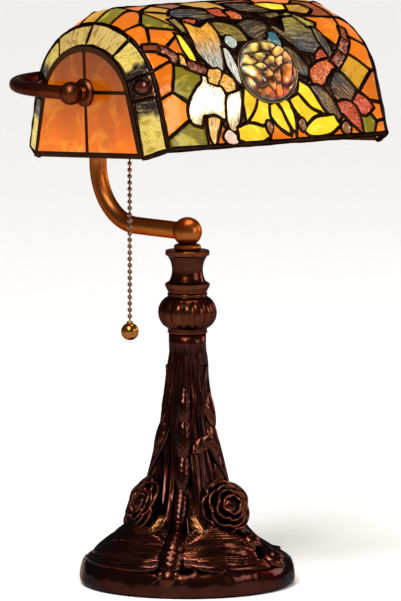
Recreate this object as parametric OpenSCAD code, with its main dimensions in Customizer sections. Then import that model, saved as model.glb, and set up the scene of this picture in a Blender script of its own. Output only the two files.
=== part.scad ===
// Table lamp with a leaded art-glass shade, hung between two pivots on a horizontal
// yoke, on a curved arm that swivels on a sculpted bronze base.
// Millimetres. +Z is up, the shade's long axis is X and its front faces -Y.
// The origin is the centre of the base's underside.

/* [Base] */
// Largest radius of the base's foot
foot_r = 70.5; // [60:0.5:80]
// Height of the base casting
casting_h = 164.6; // [155:0.2:175]
// Radius of the column where it meets the neck
column_r = 12.2; // [11.8:0.1:14]
// Turn of the sculpted front away from the shade's front, in degrees
base_turn = -45; // [-90:1:90]

/* [Arm] */
// Outer radius of the curved arm's tube
arm_r = 5.7; // [5.4:0.1:6.5]
// Radius of the arm's bend, at the tube's centre
arm_bend_r = 39; // [30:1:45]
// Distance from the base's axis to the upright end of the arm
arm_reach = 91; // [86:1:96]

/* [Yoke] */
// Distance from the middle to the centre of each pivot ball
yoke_half = 114; // [113:0.5:120]
// Outer radius of the yoke's tube
yoke_r = 4.45; // [4.2:0.05:4.6]
// Radius of the yoke's rounded corners, at the tube's centre
yoke_corner_r = 86; // [80:1:88]
// Height of the pivot axis
pivot_z = 328; // [322:1:335]

/* [Shade] */
// Distance of the shade's axis in front of the base's axis
shade_forward = 20; // [16:1:22]
// Half of the shade's length, to the outside of an end frame
shade_half = 102.5; // [101:0.5:102.5]
// Half of the length of the barrel, between the hips
barrel_half = 92; // [90:0.5:92]
// Radius of the barrel's arch at its ends
barrel_r = 60; // [57:0.5:61]
// Extra radius at the middle of the barrel
barrel_bulge = 1; // [0:0.5:3]
// Radius of the end panels' arch
end_r = 44; // [42:0.5:45]
// How much the top of the arch is flattened at the barrel's ends
barrel_squash = 8; // [5:0.5:9]
// How much the top of the end panels' arch is flattened
end_squash = 5.7; // [4:0.1:7]
// Backward lean of the shade at rest, in degrees
shade_lean = 3; // [0:0.5:5]
// Width of a lead line
lead_w = 2.4; // [1.6:0.2:3]

/* [Light] */
// Largest radius of the bulb
bulb_r = 28; // [22:1:30]
// Pitch of the pull chain's beads
bead_pitch = 4.1; // [3.6:0.1:4.6]
// Number of beads on the pull chain
bead_count = 30; // [20:1:34]

/* [Hidden] */
$fn = 64;
felt_h = 2;
plate_h = 1.5;
recess_r = 66.1;
rod_r = 4.9;
rod_bore_r = 3;
rod_fit_r = 5;
rod_top_z = 226.6;
wire_r = 1.6;
wire_way_r = 2.2;
inlet_r = 3.2;
inlet_bush_r = 5.5;
inlet_z = 9;
vase_top_z = 190.7;
vase_r = 19.4;
collar_top_z = 218.7;
washer_top_z = 222.6;
ball_r = 9.5;
ball_z = 230.6;
running_gap = 0.06;
pivot_ball_r = 7.4;
pivot_r = 4;
screw_r = 3;
boss_r = 8.9;
hub_r = 7;
end_frame_t = 3;
arch_z = -9.5;
flare = 14;
level_half = 76;
rim_mid_z = -36;
rim_end_z = -41;
glass_in = -1.5;
glass_out = 1.5;
lead_in = -2.3;
lead_out = 2.3;
bend_at = 0.66;
bar = lead_w / 240;
socket_x = -98;
chain_x = -65.5;
bead_r = 1.6;
chain_top_z = pivot_z - 27;
pull_r = 5.7;

hip_end = shade_half - end_frame_t;

// Lead lines: places along the barrel, and places across the barrel and across the hips
columns = [-barrel_half, -level_half, -26, 26, level_half, barrel_half];
rim = 1 - bar / 2;
rows = [-rim, -0.84, -0.4, -0.14, 0.14, 0.4, 0.84, rim];
hip_rows = [-rim, -0.8, -0.54, -0.3, 0, 0.3, 0.54, 0.8, rim];
all_rows = [-rim, -0.84, -0.8, -0.54, -0.4, -0.3, -0.14, 0, 0.14, 0.3, 0.4, 0.54, 0.8, 0.84, rim];
end_band = 0.6;
cell_step = 0.07;

// Rose jewels: place across the shade, radius and width of the lead round them
jewel_row = 0.63;
jewel_r = 21;
bezel_w = 2;

// ---- helpers ----

// Point on a cubic curve through its first and last control points
function curve(p, t) = pow(1 - t, 3) * p[0] + 3 * pow(1 - t, 2) * t * p[1]
    + 3 * (1 - t) * t * t * p[2] + pow(t, 3) * p[3];

// Outline points of an arc in the plane, from one angle to another
function arc(centre, r, from, to, steps) =
    [for (i = [0 : steps]) centre + r * [cos(from + (to - from) * i / steps),
                                         sin(from + (to - from) * i / steps)]];

// A tapered bar with round ends between two points
module limb(from, to, r1, r2) {
    hull() {
        translate(from) sphere(r = r1, $fn = 16);
        translate(to) sphere(r = r2, $fn = 16);
    }
}

// A cylinder lying along X, from x1 to x2
module x_rod(x1, x2, r) {
    translate([x1, 0, 0]) rotate([0, 90, 0]) cylinder(r = r, h = x2 - x1);
}

// Moves its children to the pivot axis
module at_pivot() {
    translate([0, -shade_forward, pivot_z]) children();
}

// Turns its children to the sculpted front of the base
module on_base() {
    rotate([0, 0, base_turn]) children();
}

// ---- base ----

flare_curve = [[16, 118], [20, 75], [28, 32], [66, 17]];
hollow_curve = [[10, 112], [14, 72], [23, 27], [62, 12]];

// Outer outline of the casting, from the foot up to the column's top
function casting_outline() = concat(
    [[recess_r, 0.8], [foot_r - 2, 0.8]],
    arc([foot_r - 4.5, 6], 4.5, -60, 60, 5),
    [for (i = [0 : 14]) curve(flare_curve, 1 - i / 14)],
    [[14.2, 128], [13, 140], [column_r, 153], [column_r, casting_h], [rod_fit_r, casting_h]]
);

// Inner outline of the casting, back down to the recess for the base plate
function casting_hollow() = concat(
    [[rod_fit_r, 116], [9, 116]],
    [for (i = [0 : 12]) curve(hollow_curve, i / 12)],
    [[63.5, felt_h + plate_h], [recess_r, felt_h + plate_h]]
);

module base_casting() {
    color([0.16, 0.08, 0.06]) difference() {
        rotate_extrude($fn = 96) polygon(concat(casting_outline(), casting_hollow()));
        on_base() translate([0, 0, inlet_z]) rotate([-90, 0, 0])
            cylinder(r = inlet_bush_r, h = foot_r + 5);
    }
}

module felt_pad() {
    color([0.1, 0.12, 0.1]) difference() {
        cylinder(r = recess_r - 0.1, h = felt_h);
        translate([0, 0, -1]) cylinder(r = 12, h = felt_h + 2);
    }
}

module base_plate() {
    color([0.5, 0.5, 0.52]) translate([0, 0, felt_h]) difference() {
        cylinder(r = recess_r - 0.1, h = plate_h);
        translate([0, 0, -1]) cylinder(r = rod_fit_r, h = plate_h + 2);
    }
}

module ballast_weight() {
    color([0.3, 0.3, 0.31]) difference() {
        translate([0, 0, felt_h + plate_h]) cylinder(r1 = 50, r2 = 40, h = 14);
        cylinder(r = rod_fit_r + 1, h = 30);
        on_base() translate([-4, 0, 0]) cube([8, 60, 14]);
    }
}

module threaded_rod() {
    color([0.75, 0.65, 0.35]) difference() {
        translate([0, 0, 0.6]) cylinder(r = rod_r, h = rod_top_z - 0.6);
        cylinder(r = rod_bore_r, h = rod_top_z + 1);
    }
}

module lock_washer() {
    color([0.6, 0.6, 0.62]) translate([0, 0, 17.5]) difference() {
        cylinder(r = 11, h = 1.2);
        translate([0, 0, -1]) cylinder(r = rod_fit_r, h = 4);
    }
}

module lock_nut() {
    color([0.7, 0.6, 0.3]) translate([0, 0, 18.7]) difference() {
        cylinder(r = 9, h = 5, $fn = 6);
        translate([0, 0, -1]) cylinder(r = rod_r, h = 8);
    }
}

module cord_bushing() {
    color([0.07, 0.07, 0.07]) on_base() translate([0, 62.5, inlet_z]) rotate([-90, 0, 0])
        difference() {
            cylinder(r = inlet_bush_r, h = foot_r - 62);
            translate([0, 0, -1]) cylinder(r = inlet_r, h = foot_r);
        }
}

// Points up the front of the base that the dragonfly's body follows
spine = [[-6, -62, 22], [-4, -51, 29], [-3, -38.5, 41], [-2, -29.5, 56],
         [-1.5, -24.5, 74], [-1, -21, 92], [-1, -18.5, 112], [-1, -16, 131]];
spine_r = [6.5, 6, 5, 4.3, 3.8, 3.3, 2.8, 1.8];

module dragonfly_figure() {
    color([0.3, 0.16, 0.1]) on_base() {
        for (i = [0 : len(spine) - 2]) {
            limb(spine[i], spine[i + 1], spine_r[i], spine_r[i + 1]);
        }
        for (side = [-1, 1]) {
            limb(spine[0] + [side * 3, -3, 1], spine[0] + [side * 3.5, -4, 2], 3, 2.6);
        }
    }
}

// One wing: a thin flat blade from its root to its tip
module wing(root, tip, root_r, tip_r, t) {
    hull() {
        translate(root) cylinder(r = root_r, h = t, $fn = 24);
        translate(tip) cylinder(r = tip_r, h = t, $fn = 24);
    }
}

module dragonfly_wings() {
    color([0.32, 0.17, 0.1]) on_base() {
        for (side = [-1, 1]) {
            wing([side * 10, -52, 26], [side * 44, -42, 21], 3.5, 9, 3);
            wing([side * 10, -44, 32], [side * 38, -28, 31], 3, 7, 3);
            limb([side * 9, -50, 27], [side * 42, -40, 23], 2, 1.4);
            limb([side * 9, -43, 33], [side * 36, -28, 33], 2, 1.4);
        }
    }
}

// Round flower of nested petals, facing along +Z, with its back at z = 0
module rose(r) {
    rotate_extrude($fn = 40) polygon([
        [0, 0], [r * 0.55, 0], [r * 0.95, r * 0.35], [r, r * 0.6], [r * 0.82, r * 0.5],
        [r * 0.78, r * 0.72], [r * 0.6, r * 0.56], [r * 0.55, r * 0.8], [r * 0.36, r * 0.6],
        [r * 0.3, r * 0.86], [0, r * 0.9]
    ]);
}

module rose_right() {
    color([0.28, 0.13, 0.09]) on_base()
        translate([18, -20, 50]) rotate([70, 0, 38]) rose(16);
}

module rose_left() {
    color([0.28, 0.13, 0.09]) on_base()
        translate([-20, -14, 50]) rotate([66, 0, -58]) rose(16);
}

module rosebuds() {
    color([0.3, 0.14, 0.1]) on_base() {
        translate([38, -21, 31]) sphere(r = 7, $fn = 24);
        translate([56, -24, 17]) sphere(r = 8.5, $fn = 24);
        translate([-46, -20, 26]) sphere(r = 6, $fn = 24);
    }
}

module leaf_sprays() {
    color([0.2, 0.12, 0.07]) on_base() {
        limb([11, -32, 44], [19, -30, 36], 3.5, 5);
        limb([-14, -32, 44], [-22, -30, 37], 3.5, 5);
        limb([5, -26, 76], [12, -24, 66], 2, 3.5);
        limb([16, -4, 100], [19, -10, 84], 2.5, 3);
        limb([-17, -4, 104], [-20, -9, 88], 2.5, 3);
        limb([30, -30, 30], [40, -36, 22], 3.5, 5);
        limb([26, 8, 62], [36, 10, 42], 4, 6);
        limb([-26, 12, 60], [-36, 16, 40], 4, 6);
    }
}

module neck_vase() {
    color([0.18, 0.09, 0.07]) rotate_extrude($fn = 96) polygon(concat(
        [[rod_fit_r, casting_h], [12.6, casting_h], [12, casting_h + 2]],
        arc([vase_r - 11.5, 178], 11.5, -62, 62, 10),
        [[12.3, vase_top_z], [rod_fit_r, vase_top_z]]
    ));
}

module neck_collar() {
    color([0.26, 0.13, 0.09]) rotate_extrude($fn = 96) polygon(concat(
        [[rod_fit_r, vase_top_z], [12.3, vase_top_z], [14.6, 195.4], [14.6, 196.8]],
        [for (i = [0 : 8]) curve([[12, 198.4], [9.2, 203], [9.4, 210], [13, 214.8]], i / 8)],
        [[14.4, 215.6], [14.4, 218], [13.8, collar_top_z], [rod_fit_r, collar_top_z]]
    ));
}

module neck_washer() {
    color([0.45, 0.26, 0.15]) difference() {
        rotate_extrude() polygon(concat(
            [[rod_fit_r, collar_top_z], [7.6, collar_top_z]],
            arc([7, collar_top_z + 1.95], 1.9, -80, 80, 8),
            [[rod_fit_r, washer_top_z]]
        ));
        translate([0, 0, ball_z]) sphere(r = ball_r + 0.1);
    }
}

module base_wire() {
    color([0.85, 0.8, 0.6]) translate([0, 0, 5]) cylinder(r = wire_r, h = rod_top_z - 5.6);
}

// ---- arm ----

module swivel_ball() {
    color([0.5, 0.29, 0.17]) translate([0, 0, ball_z]) difference() {
        sphere(r = ball_r);
        translate([0, 0, -ball_r - 1])
            cylinder(r = rod_r + running_gap, h = ball_r + 1 - (ball_z - rod_top_z) + 0.6);
        translate([0, 0, -5]) cylinder(r = wire_way_r, h = 5);
        sphere(r = wire_way_r);
        rotate([-90, 0, 0]) cylinder(r = wire_way_r, h = ball_r);
        translate([0, 6.4, 0]) rotate([-90, 0, 0]) cylinder(r = arm_r, h = ball_r);
    }
}

// A round bar along the arm's centre line, from the ball to the yoke
module arm_route(r, start, top) {
    translate([0, start, ball_z]) rotate([-90, 0, 0])
        cylinder(r = r, h = arm_reach - arm_bend_r - start);
    translate([0, arm_reach - arm_bend_r, ball_z + arm_bend_r]) rotate([90, 0, 90])
        rotate([0, 0, -90]) rotate_extrude(angle = 90) translate([arm_bend_r, 0]) circle(r = r);
    translate([0, arm_reach, ball_z + arm_bend_r])
        cylinder(r = r, h = top - ball_z - arm_bend_r);
}

module arm_tube() {
    color([0.5, 0.29, 0.17]) difference() {
        arm_route(arm_r, 6.4, pivot_z - 6);
        arm_route(arm_r - 1.5, 6, pivot_z - 5);
    }
}

module yoke_hub() {
    color([0.5, 0.29, 0.17]) translate([0, arm_reach, pivot_z]) difference() {
        sphere(r = 10);
        x_rod(-12, 12, yoke_r);
        translate([0, 0, -16]) cylinder(r = arm_r, h = 10);
        translate([0, 0, -10]) cylinder(r = wire_way_r, h = 8);
    }
}

// A round bar along the yoke: one side arm, its corner and half of the back
module half_yoke(r, arm_end) {
    corner_x = yoke_half - yoke_corner_r;
    corner_y = arm_reach - yoke_corner_r;
    translate([-corner_x, arm_reach, pivot_z]) x_rod(0, corner_x, r);
    translate([-corner_x, corner_y, pivot_z]) rotate([0, 0, 90])
        rotate_extrude(angle = 90) translate([yoke_corner_r, 0]) circle(r = r);
    translate([-yoke_half, arm_end, pivot_z]) rotate([-90, 0, 0])
        cylinder(r = r, h = corner_y - arm_end);
}

module yoke_hoop() {
    color([0.48, 0.27, 0.16]) difference() {
        union() {
            half_yoke(yoke_r, 4.6 - shade_forward);
            mirror([1, 0, 0]) half_yoke(yoke_r, 4.6 - shade_forward);
        }
        half_yoke(yoke_r - 1.3, 4 - shade_forward);
        mirror([1, 0, 0]) half_yoke(yoke_r - 1.3, 4 - shade_forward);
        translate([0, arm_reach, pivot_z - 8]) cylinder(r = wire_way_r, h = 8);
    }
}

// Ball at an end of the yoke: bored from one height up, with a socket for the yoke's tube
module pivot_ball(bore, bore_from) {
    difference() {
        rotate([0, 90, 0]) rotate_extrude() difference() {
            circle(r = pivot_ball_r);
            translate([-20, -20]) square([20, 40]);
            translate([-1, bore_from]) square([1 + bore, 20]);
        }
        translate([0, 4.6, 0]) rotate([-90, 0, 0]) cylinder(r = yoke_r, h = 10);
    }
}

module yoke_ball_left() {
    color([0.5, 0.29, 0.17]) at_pivot() translate([-yoke_half, 0, 0])
        pivot_ball(pivot_r, -3.5);
}

module yoke_ball_right() {
    color([0.5, 0.29, 0.17]) at_pivot() translate([yoke_half, 0, 0])
        pivot_ball(screw_r, -10);
}

module hollow_pivot() {
    color([0.75, 0.6, 0.3]) at_pivot() difference() {
        x_rod(-yoke_half - 3.5, socket_x + 6, pivot_r);
        x_rod(-yoke_half - 4, socket_x + 7, wire_way_r);
        translate([-yoke_half, 0, 0]) rotate([-90, 0, 0]) cylinder(r = wire_way_r, h = 6);
    }
}

module pivot_screw() {
    color([0.6, 0.45, 0.25]) at_pivot() x_rod(shade_half - 8, yoke_half + 12, screw_r);
}

module pivot_knob() {
    color([0.3, 0.17, 0.1]) at_pivot() translate([yoke_half, 0, 0]) rotate([0, 90, 0])
        difference() {
            rotate_extrude() polygon(concat(
                [[0, 8.4], [5, 8.4], [5, 10.4]],
                arc([0, 19.6], 8.4, -70, 0, 8),
                arc([0, 19.6], 8.4, 10, 90, 8)
            ));
            cylinder(r = screw_r, h = 12);
        }
}

module pivot_nut() {
    color([0.7, 0.6, 0.3]) at_pivot() translate([shade_half - 7.6, 0, 0]) rotate([0, 90, 0])
        difference() {
            cylinder(r = 6, h = 3, $fn = 6);
            translate([0, 0, -1]) cylinder(r = screw_r, h = 5);
        }
}

module arm_wire() {
    color([0.85, 0.8, 0.6]) {
        translate([0, 0, rod_top_z + 1]) cylinder(r = wire_r, h = ball_z - rod_top_z - 1);
        translate([0, 0, ball_z]) sphere(r = wire_r);
        translate([0, 0, ball_z]) rotate([-90, 0, 0]) cylinder(r = wire_r, h = 10);
        arm_route(wire_r, 10, pivot_z);
        translate([0, arm_reach, pivot_z]) sphere(r = wire_r);
        half_yoke(wire_r, -shade_forward);
        at_pivot() translate([-yoke_half, 0, 0]) sphere(r = wire_r);
        at_pivot() x_rod(-yoke_half, socket_x + 12, wire_r);
    }
}

// ---- light ----

// A turned piece about the pivot axis: its outline is [radius, distance along X]
module turned_on_pivot(outline) {
    at_pivot() translate([socket_x, 0, 0]) rotate([0, 90, 0])
        rotate_extrude() polygon(outline);
}

module socket_cap() {
    color([0.72, 0.56, 0.25]) turned_on_pivot(concat(
        [[pivot_r, 0], [8, 0], [9, 1.5]],
        arc([10, 12], 9, -80, 0, 8),
        [[19, 16], [18.2, 16], [18.2, 12]],
        arc([10, 12], 8.2, 0, -80, 8),
        [[9, 4], [pivot_r, 4]]
    ));
}

module socket_shell() {
    color([0.72, 0.56, 0.25]) at_pivot() difference() {
        x_rod(socket_x + 13, socket_x + 57, 18);
        x_rod(socket_x + 12, socket_x + 58, 17.4);
        translate([chain_x, 0, -20]) cylinder(r = 4, h = 10);
    }
}

module socket_liner() {
    color([0.55, 0.4, 0.25]) at_pivot() difference() {
        x_rod(socket_x + 14, socket_x + 56, 17.3);
        x_rod(socket_x + 12, socket_x + 58, 16.4);
        translate([chain_x, 0, -20]) cylinder(r = 4, h = 10);
    }
}

module switch_body() {
    color([0.12, 0.11, 0.1]) at_pivot() x_rod(socket_x + 16, socket_x + 28, 16.2);
}

module screw_shell() {
    color([0.75, 0.6, 0.3]) at_pivot() difference() {
        x_rod(socket_x + 30, socket_x + 55, 14.2);
        x_rod(socket_x + 31, socket_x + 56, 13.5);
        translate([chain_x, 0, -20]) cylinder(r = 4, h = 10);
    }
}

module chain_bell() {
    color([0.72, 0.56, 0.25]) at_pivot() translate([chain_x, 0, -25]) difference() {
        rotate_extrude() polygon([
            [3.6, 0], [2.6, 4], [2.4, 9], [3.9, 9], [3.9, 6.98], [5.5, 6.98], [5.5, 6.2],
            [3.6, 5], [4.6, 0]
        ]);
        translate([-10, 0, 25]) x_rod(0, 20, 17.3);
    }
}

module bulb_cap() {
    color([0.8, 0.8, 0.78]) at_pivot() x_rod(socket_x + 32, socket_x + 57, 13.1);
}

module bulb_glass() {
    bulb_x = 14 - socket_x;
    neck = 57;
    color([1, 0.95, 0.8]) turned_on_pivot(concat(
        [[12.9, neck]],
        [for (i = [1 : 5]) curve([[12.9, neck], [14, neck + 14], [19, neck + 22],
                                  [bulb_r * cos(40), bulb_x - bulb_r * sin(40)]], i / 6)],
        arc([0, bulb_x], bulb_r, -40, 90, 20),
        arc([0, bulb_x], bulb_r - 1, 90, -40, 20),
        [for (i = [5 : -1 : 1]) curve([[11.9, neck], [13, neck + 14], [18, neck + 22],
                                       [(bulb_r - 1) * cos(40), bulb_x - (bulb_r - 1) * sin(40)]],
                                      i / 6)],
        [[11.9, neck]]
    ));
}

module bulb_filament() {
    color([0.9, 0.8, 0.5]) at_pivot() {
        x_rod(socket_x + 57, socket_x + 100, 3);
        translate([14, 12, 0]) rotate([90, 0, 0]) cylinder(r = 0.8, h = 24);
        x_rod(socket_x + 100, 14, 0.8);
    }
}

// ---- shade ----

// How far down a hip a place along the shade is: 0 on the barrel, 1 at the end frame
function hip_part(x) = min(1, max(0, (abs(x) - barrel_half) / (hip_end - barrel_half)));

// Radius of the arch at a distance along the shade
function arch_r(x) = hip_part(x) > 0
    ? barrel_r + (end_r - barrel_r) * hip_part(x)
    : barrel_r + barrel_bulge * (1 - pow(x / barrel_half, 2));

// How much lower the top of the arch is than a round one
function squash(x) = hip_part(x) > 0
    ? barrel_squash + (end_squash - barrel_squash) * hip_part(x)
    : barrel_squash * max(0, (abs(x) - level_half) / (barrel_half - level_half));

// Height of the lower rim, from the pivot axis
function rim_z(x) = rim_mid_z + (rim_end_z - rim_mid_z) * hip_part(x);

// Point of the shade's section: across is -1 at the front rim, 0 on top and 1 at the back rim
function section_point(x, across, out) =
    let (side = sign(across), h = abs(across), r = arch_r(x) + out, rise = r - squash(x))
    h <= bend_at
        ? [side * r * sin((90 - flare) * h / bend_at), arch_z + rise * cos((90 - flare) * h / bend_at)]
        : let (skirt = (arch_z + rise * sin(flare) - rim_z(x)) * (h - bend_at) / (1 - bend_at))
          [side * (r * cos(flare) + skirt * tan(flare)), arch_z + rise * sin(flare) - skirt];

function shade_point(x, across, out) = concat([x], section_point(x, across, out));

// Moves its children from the shade's own frame to their place in the lamp
module in_shade() {
    at_pivot() rotate([-shade_lean, 0, 0]) children();
}

// Two triangles for a four-sided face
function two(a, b, c, d) = [[a, b, c], [a, c, d]];

// A piece of the shade's skin between two places along it and two across it, as one closed skin
module patch(x1, x2, a1, a2, low, high, steps = 4) {
    spots = [for (x = [min(x1, x2), max(x1, x2)], i = [0 : steps], out = [low, high])
        shade_point(x, a1 + (a2 - a1) * i / steps, out)];
    function spot(end, i, top) = 2 * (end * (steps + 1) + i) + top;
    polyhedron(
        points = spots,
        faces = [
            for (i = [0 : steps - 1])
                for (f = concat(
                    two(spot(0, i, 1), spot(0, i + 1, 1), spot(1, i + 1, 1), spot(1, i, 1)),
                    two(spot(0, i, 0), spot(1, i, 0), spot(1, i + 1, 0), spot(0, i + 1, 0)),
                    two(spot(0, i, 0), spot(0, i + 1, 0), spot(0, i + 1, 1), spot(0, i, 1)),
                    two(spot(1, i, 1), spot(1, i + 1, 1), spot(1, i + 1, 0), spot(1, i, 0))
                )) f,
            for (f = two(spot(0, 0, 1), spot(1, 0, 1), spot(1, 0, 0), spot(0, 0, 0))) f,
            for (f = two(spot(0, steps, 0), spot(1, steps, 0), spot(1, steps, 1), spot(0, steps, 1))) f
        ]
    );
}

// A pane that fills one opening of the leading
module pane(x1, x2, a1, a2, steps = 4) {
    patch(x1 + lead_w / 2, x2 - lead_w / 2, a1 + bar / 2, a2 - bar / 2, glass_in, glass_out, steps);
}

// One row of panes along the barrel, in the columns that are listed
module pane_row(row, in_columns) {
    for (c = in_columns) pane(columns[c], columns[c + 1], rows[row], rows[row + 1]);
}

// A round slab of the skin about one place, with a crown in its middle
module skin_disc(x, across, r, low, high, crown = 0) {
    sides = 48;
    ring = [for (i = [0 : sides]) [x + r * cos(360 * i / sides), across + r * sin(360 * i / sides) / 120]];
    for (i = [0 : sides - 1])
        hull() polyhedron(
            points = [for (p = [[x, across], ring[i], ring[i + 1]], top = [0, 1])
                shade_point(p[0], p[1], top == 0 ? low : p[0] == x && p[1] == across ? high + crown : high)],
            faces = [[0, 2, 4], [1, 5, 3], [0, 1, 3, 2], [2, 3, 5, 4], [4, 5, 1, 0]]
        );
}

// Places its children on the shade's skin, with +Z outwards
module on_skin(x, across) {
    tilt = abs(across) <= bend_at ? (90 - flare) * across / bend_at : sign(across) * (90 - flare);
    translate(shade_point(x, across, 0)) rotate([-tilt, 0, 0]) children();
}

// Both rose jewels' round places, one on the front and one on the back
module jewel_discs(r, low, high, crown = 0) {
    for (side = [-1, 1]) skin_disc(0, side * jewel_row, r, low, high, crown);
}

// Places of the small round stones on the front: [along, across]
stones = [[-20, -0.46], [16, -0.45], [-44, -0.92], [-8, -0.92], [19, -0.92], [54, -0.92]];
stone_r = 3.4;

// Edges of the leading's cells along the shade: every second band between them is a lead line
cell_x = concat(
    [-hip_end, end_band - hip_end],
    [for (c = columns, side = [-1, 1]) c + side * lead_w / 2],
    [hip_end - end_band, hip_end]
);

// Bands of the leading's cells across the shade: [from, to, line of the barrel, line of the hips]
cell_bands = [
    for (i = [0 : len(all_rows) - 1], k = [0 : i < len(all_rows) - 1 ? gap_steps(i) : 0])
        k == 0
            ? [all_rows[i] - bar / 2, all_rows[i] + bar / 2,
               len(search(all_rows[i], rows)) > 0, len(search(all_rows[i], hip_rows)) > 0]
            : [gap_place(i, k - 1), gap_place(i, k), false, false]
];

// Number of cells in the gap after a line across, and the places of their edges
function gap_steps(i) = ceil((all_rows[i + 1] - all_rows[i] - bar) / cell_step);
function gap_place(i, k) =
    all_rows[i] + bar / 2 + (all_rows[i + 1] - all_rows[i] - bar) * k / gap_steps(i);

// Whether a cell of the leading is lead and not an opening; cells outside the shade aren't
function is_lead(i, j) =
    i < 0 || j < 0 || i > len(cell_x) - 2 || j > len(cell_bands) - 1
        ? false
        : i % 2 == 0 || cell_bands[j][abs(cell_x[i] + cell_x[i + 1]) < 2 * barrel_half ? 2 : 3];

// The whole net of lead lines over the barrel and the hips, as one closed skin
module lead_net() {
    last = len(cell_bands);
    edges = [for (j = [0 : last]) j < last ? cell_bands[j][0] : cell_bands[last - 1][1]];
    spots = [for (x = cell_x, a = edges, out = [lead_in, lead_out]) shade_point(x, a, out)];
    function spot(i, j, top) = 2 * (i * (last + 1) + j) + top;
    polyhedron(
        points = spots,
        faces = [
            for (i = [0 : len(cell_x) - 2], j = [0 : last - 1]) if (is_lead(i, j))
                for (f = concat(
                    two(spot(i, j, 1), spot(i, j + 1, 1), spot(i + 1, j + 1, 1), spot(i + 1, j, 1)),
                    two(spot(i, j, 0), spot(i + 1, j, 0), spot(i + 1, j + 1, 0), spot(i, j + 1, 0)),
                    is_lead(i - 1, j) ? []
                        : two(spot(i, j, 0), spot(i, j + 1, 0), spot(i, j + 1, 1), spot(i, j, 1)),
                    is_lead(i + 1, j) ? []
                        : two(spot(i + 1, j, 1), spot(i + 1, j + 1, 1), spot(i + 1, j + 1, 0), spot(i + 1, j, 0)),
                    is_lead(i, j - 1) ? []
                        : two(spot(i, j, 1), spot(i + 1, j, 1), spot(i + 1, j, 0), spot(i, j, 0)),
                    is_lead(i, j + 1) ? []
                        : two(spot(i, j + 1, 0), spot(i + 1, j + 1, 0), spot(i + 1, j + 1, 1), spot(i, j + 1, 1))
                )) f
        ]
    );
}

// A ring of lead on the skin round one place, as one closed skin
module skin_ring(x, across, r1, r2, low, high) {
    sides = 48;
    spots = [for (i = [0 : sides - 1], r = [r1, r2], out = [low, high])
        shade_point(x + r * cos(360 * i / sides), across + r * sin(360 * i / sides) / 120, out)];
    polyhedron(
        points = spots,
        faces = [
            for (i = [0 : sides - 1]) let (a = 4 * i, b = 4 * ((i + 1) % sides))
                for (f = concat(
                    two(a + 1, b + 1, b + 3, a + 3), two(a, a + 2, b + 2, b),
                    two(a, b, b + 1, a + 1), two(a + 2, a + 3, b + 3, b + 2)
                )) f
        ]
    );
}

// Outline of an end panel, inset all round
function end_outline(inset) =
    let (half = section_point(hip_end, 1, -inset)[0], steps = 28)
    concat(
        [[-half, rim_end_z + inset]],
        [for (i = [-steps : steps]) section_point(hip_end, bend_at * i / steps, -inset)],
        [[half, rim_end_z + inset]]
    );

// Stands an outline up in an end panel's plane and gives it a thickness
module end_plate(side, x, t) {
    translate([side > 0 ? x : -x - t, 0, 0]) rotate([90, 0, 90]) linear_extrude(t) children();
}

module end_frame(side) {
    end_plate(side, shade_half - end_frame_t, end_frame_t) difference() {
        polygon(end_outline(-0.6));
        difference() {
            polygon(end_outline(3));
            square([lead_w, 200], center = true);
            square([200, lead_w], center = true);
            circle(r = boss_r);
        }
        circle(r = hub_r);
    }
}

module end_panes(side) {
    end_plate(side, shade_half - end_frame_t, end_frame_t - 0.4) difference() {
        polygon(end_outline(3));
        square([lead_w, 200], center = true);
        square([200, lead_w], center = true);
        circle(r = boss_r);
    }
}

module hip_panes(side) {
    for (i = [0 : len(hip_rows) - 2])
        patch(side * (barrel_half + lead_w / 2), side * (hip_end - end_band), hip_rows[i] + bar / 2,
              hip_rows[i + 1] - bar / 2, glass_in, glass_out, 3);
}

module shade_leading() {
    color([0.12, 0.08, 0.06]) in_shade() lead_net();
}

module jewel_bezels() {
    color([0.14, 0.09, 0.06]) in_shade()
        for (side = [-1, 1])
            skin_ring(0, side * jewel_row, jewel_r, jewel_r + bezel_w, lead_in, lead_out);
}

module end_frames() {
    color([0.12, 0.08, 0.06]) in_shade() for (side = [-1, 1]) end_frame(side);
}

module front_border_panes() {
    color([0.95, 0.5, 0.1]) in_shade() pane_row(0, [0 : 4]);
}

module back_border_panes() {
    color([0.95, 0.5, 0.1]) in_shade() pane_row(6, [0 : 4]);
}

// The picture row's outer panes, and its middle pane with the opening for the jewel
module picture_panes(row) {
    difference() {
        pane_row(row, [0, 2, 4]);
        jewel_discs(jewel_r + bezel_w, -6, 6);
    }
}

module front_picture_panes() {
    color([0.9, 0.45, 0.08]) in_shade() picture_panes(1);
}

module back_picture_panes() {
    color([0.9, 0.45, 0.08]) in_shade() picture_panes(5);
}

module front_dragonfly_panes() {
    color([0.65, 0.4, 0.12]) in_shade() pane_row(1, [1, 3]);
}

module back_dragonfly_panes() {
    color([0.65, 0.4, 0.12]) in_shade() pane_row(5, [1, 3]);
}

module shoulder_panes() {
    color([0.92, 0.5, 0.1]) in_shade() {
        pane_row(2, [0 : 4]);
        pane_row(4, [0 : 4]);
    }
}

module crown_panes() {
    color([0.85, 0.7, 0.15]) in_shade() pane_row(3, [0 : 4]);
}

module hip_panes_left() {
    color([0.93, 0.85, 0.55]) in_shade() hip_panes(-1);
}

module hip_panes_right() {
    color([0.93, 0.85, 0.55]) in_shade() hip_panes(1);
}

module end_panes_left() {
    color([0.85, 0.4, 0.08]) in_shade() end_panes(-1);
}

module end_panes_right() {
    color([0.85, 0.4, 0.08]) in_shade() end_panes(1);
}

module rose_jewels() {
    color([0.75, 0.25, 0.08]) in_shade() jewel_discs(jewel_r, glass_in, glass_out, 2.5);
}

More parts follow.
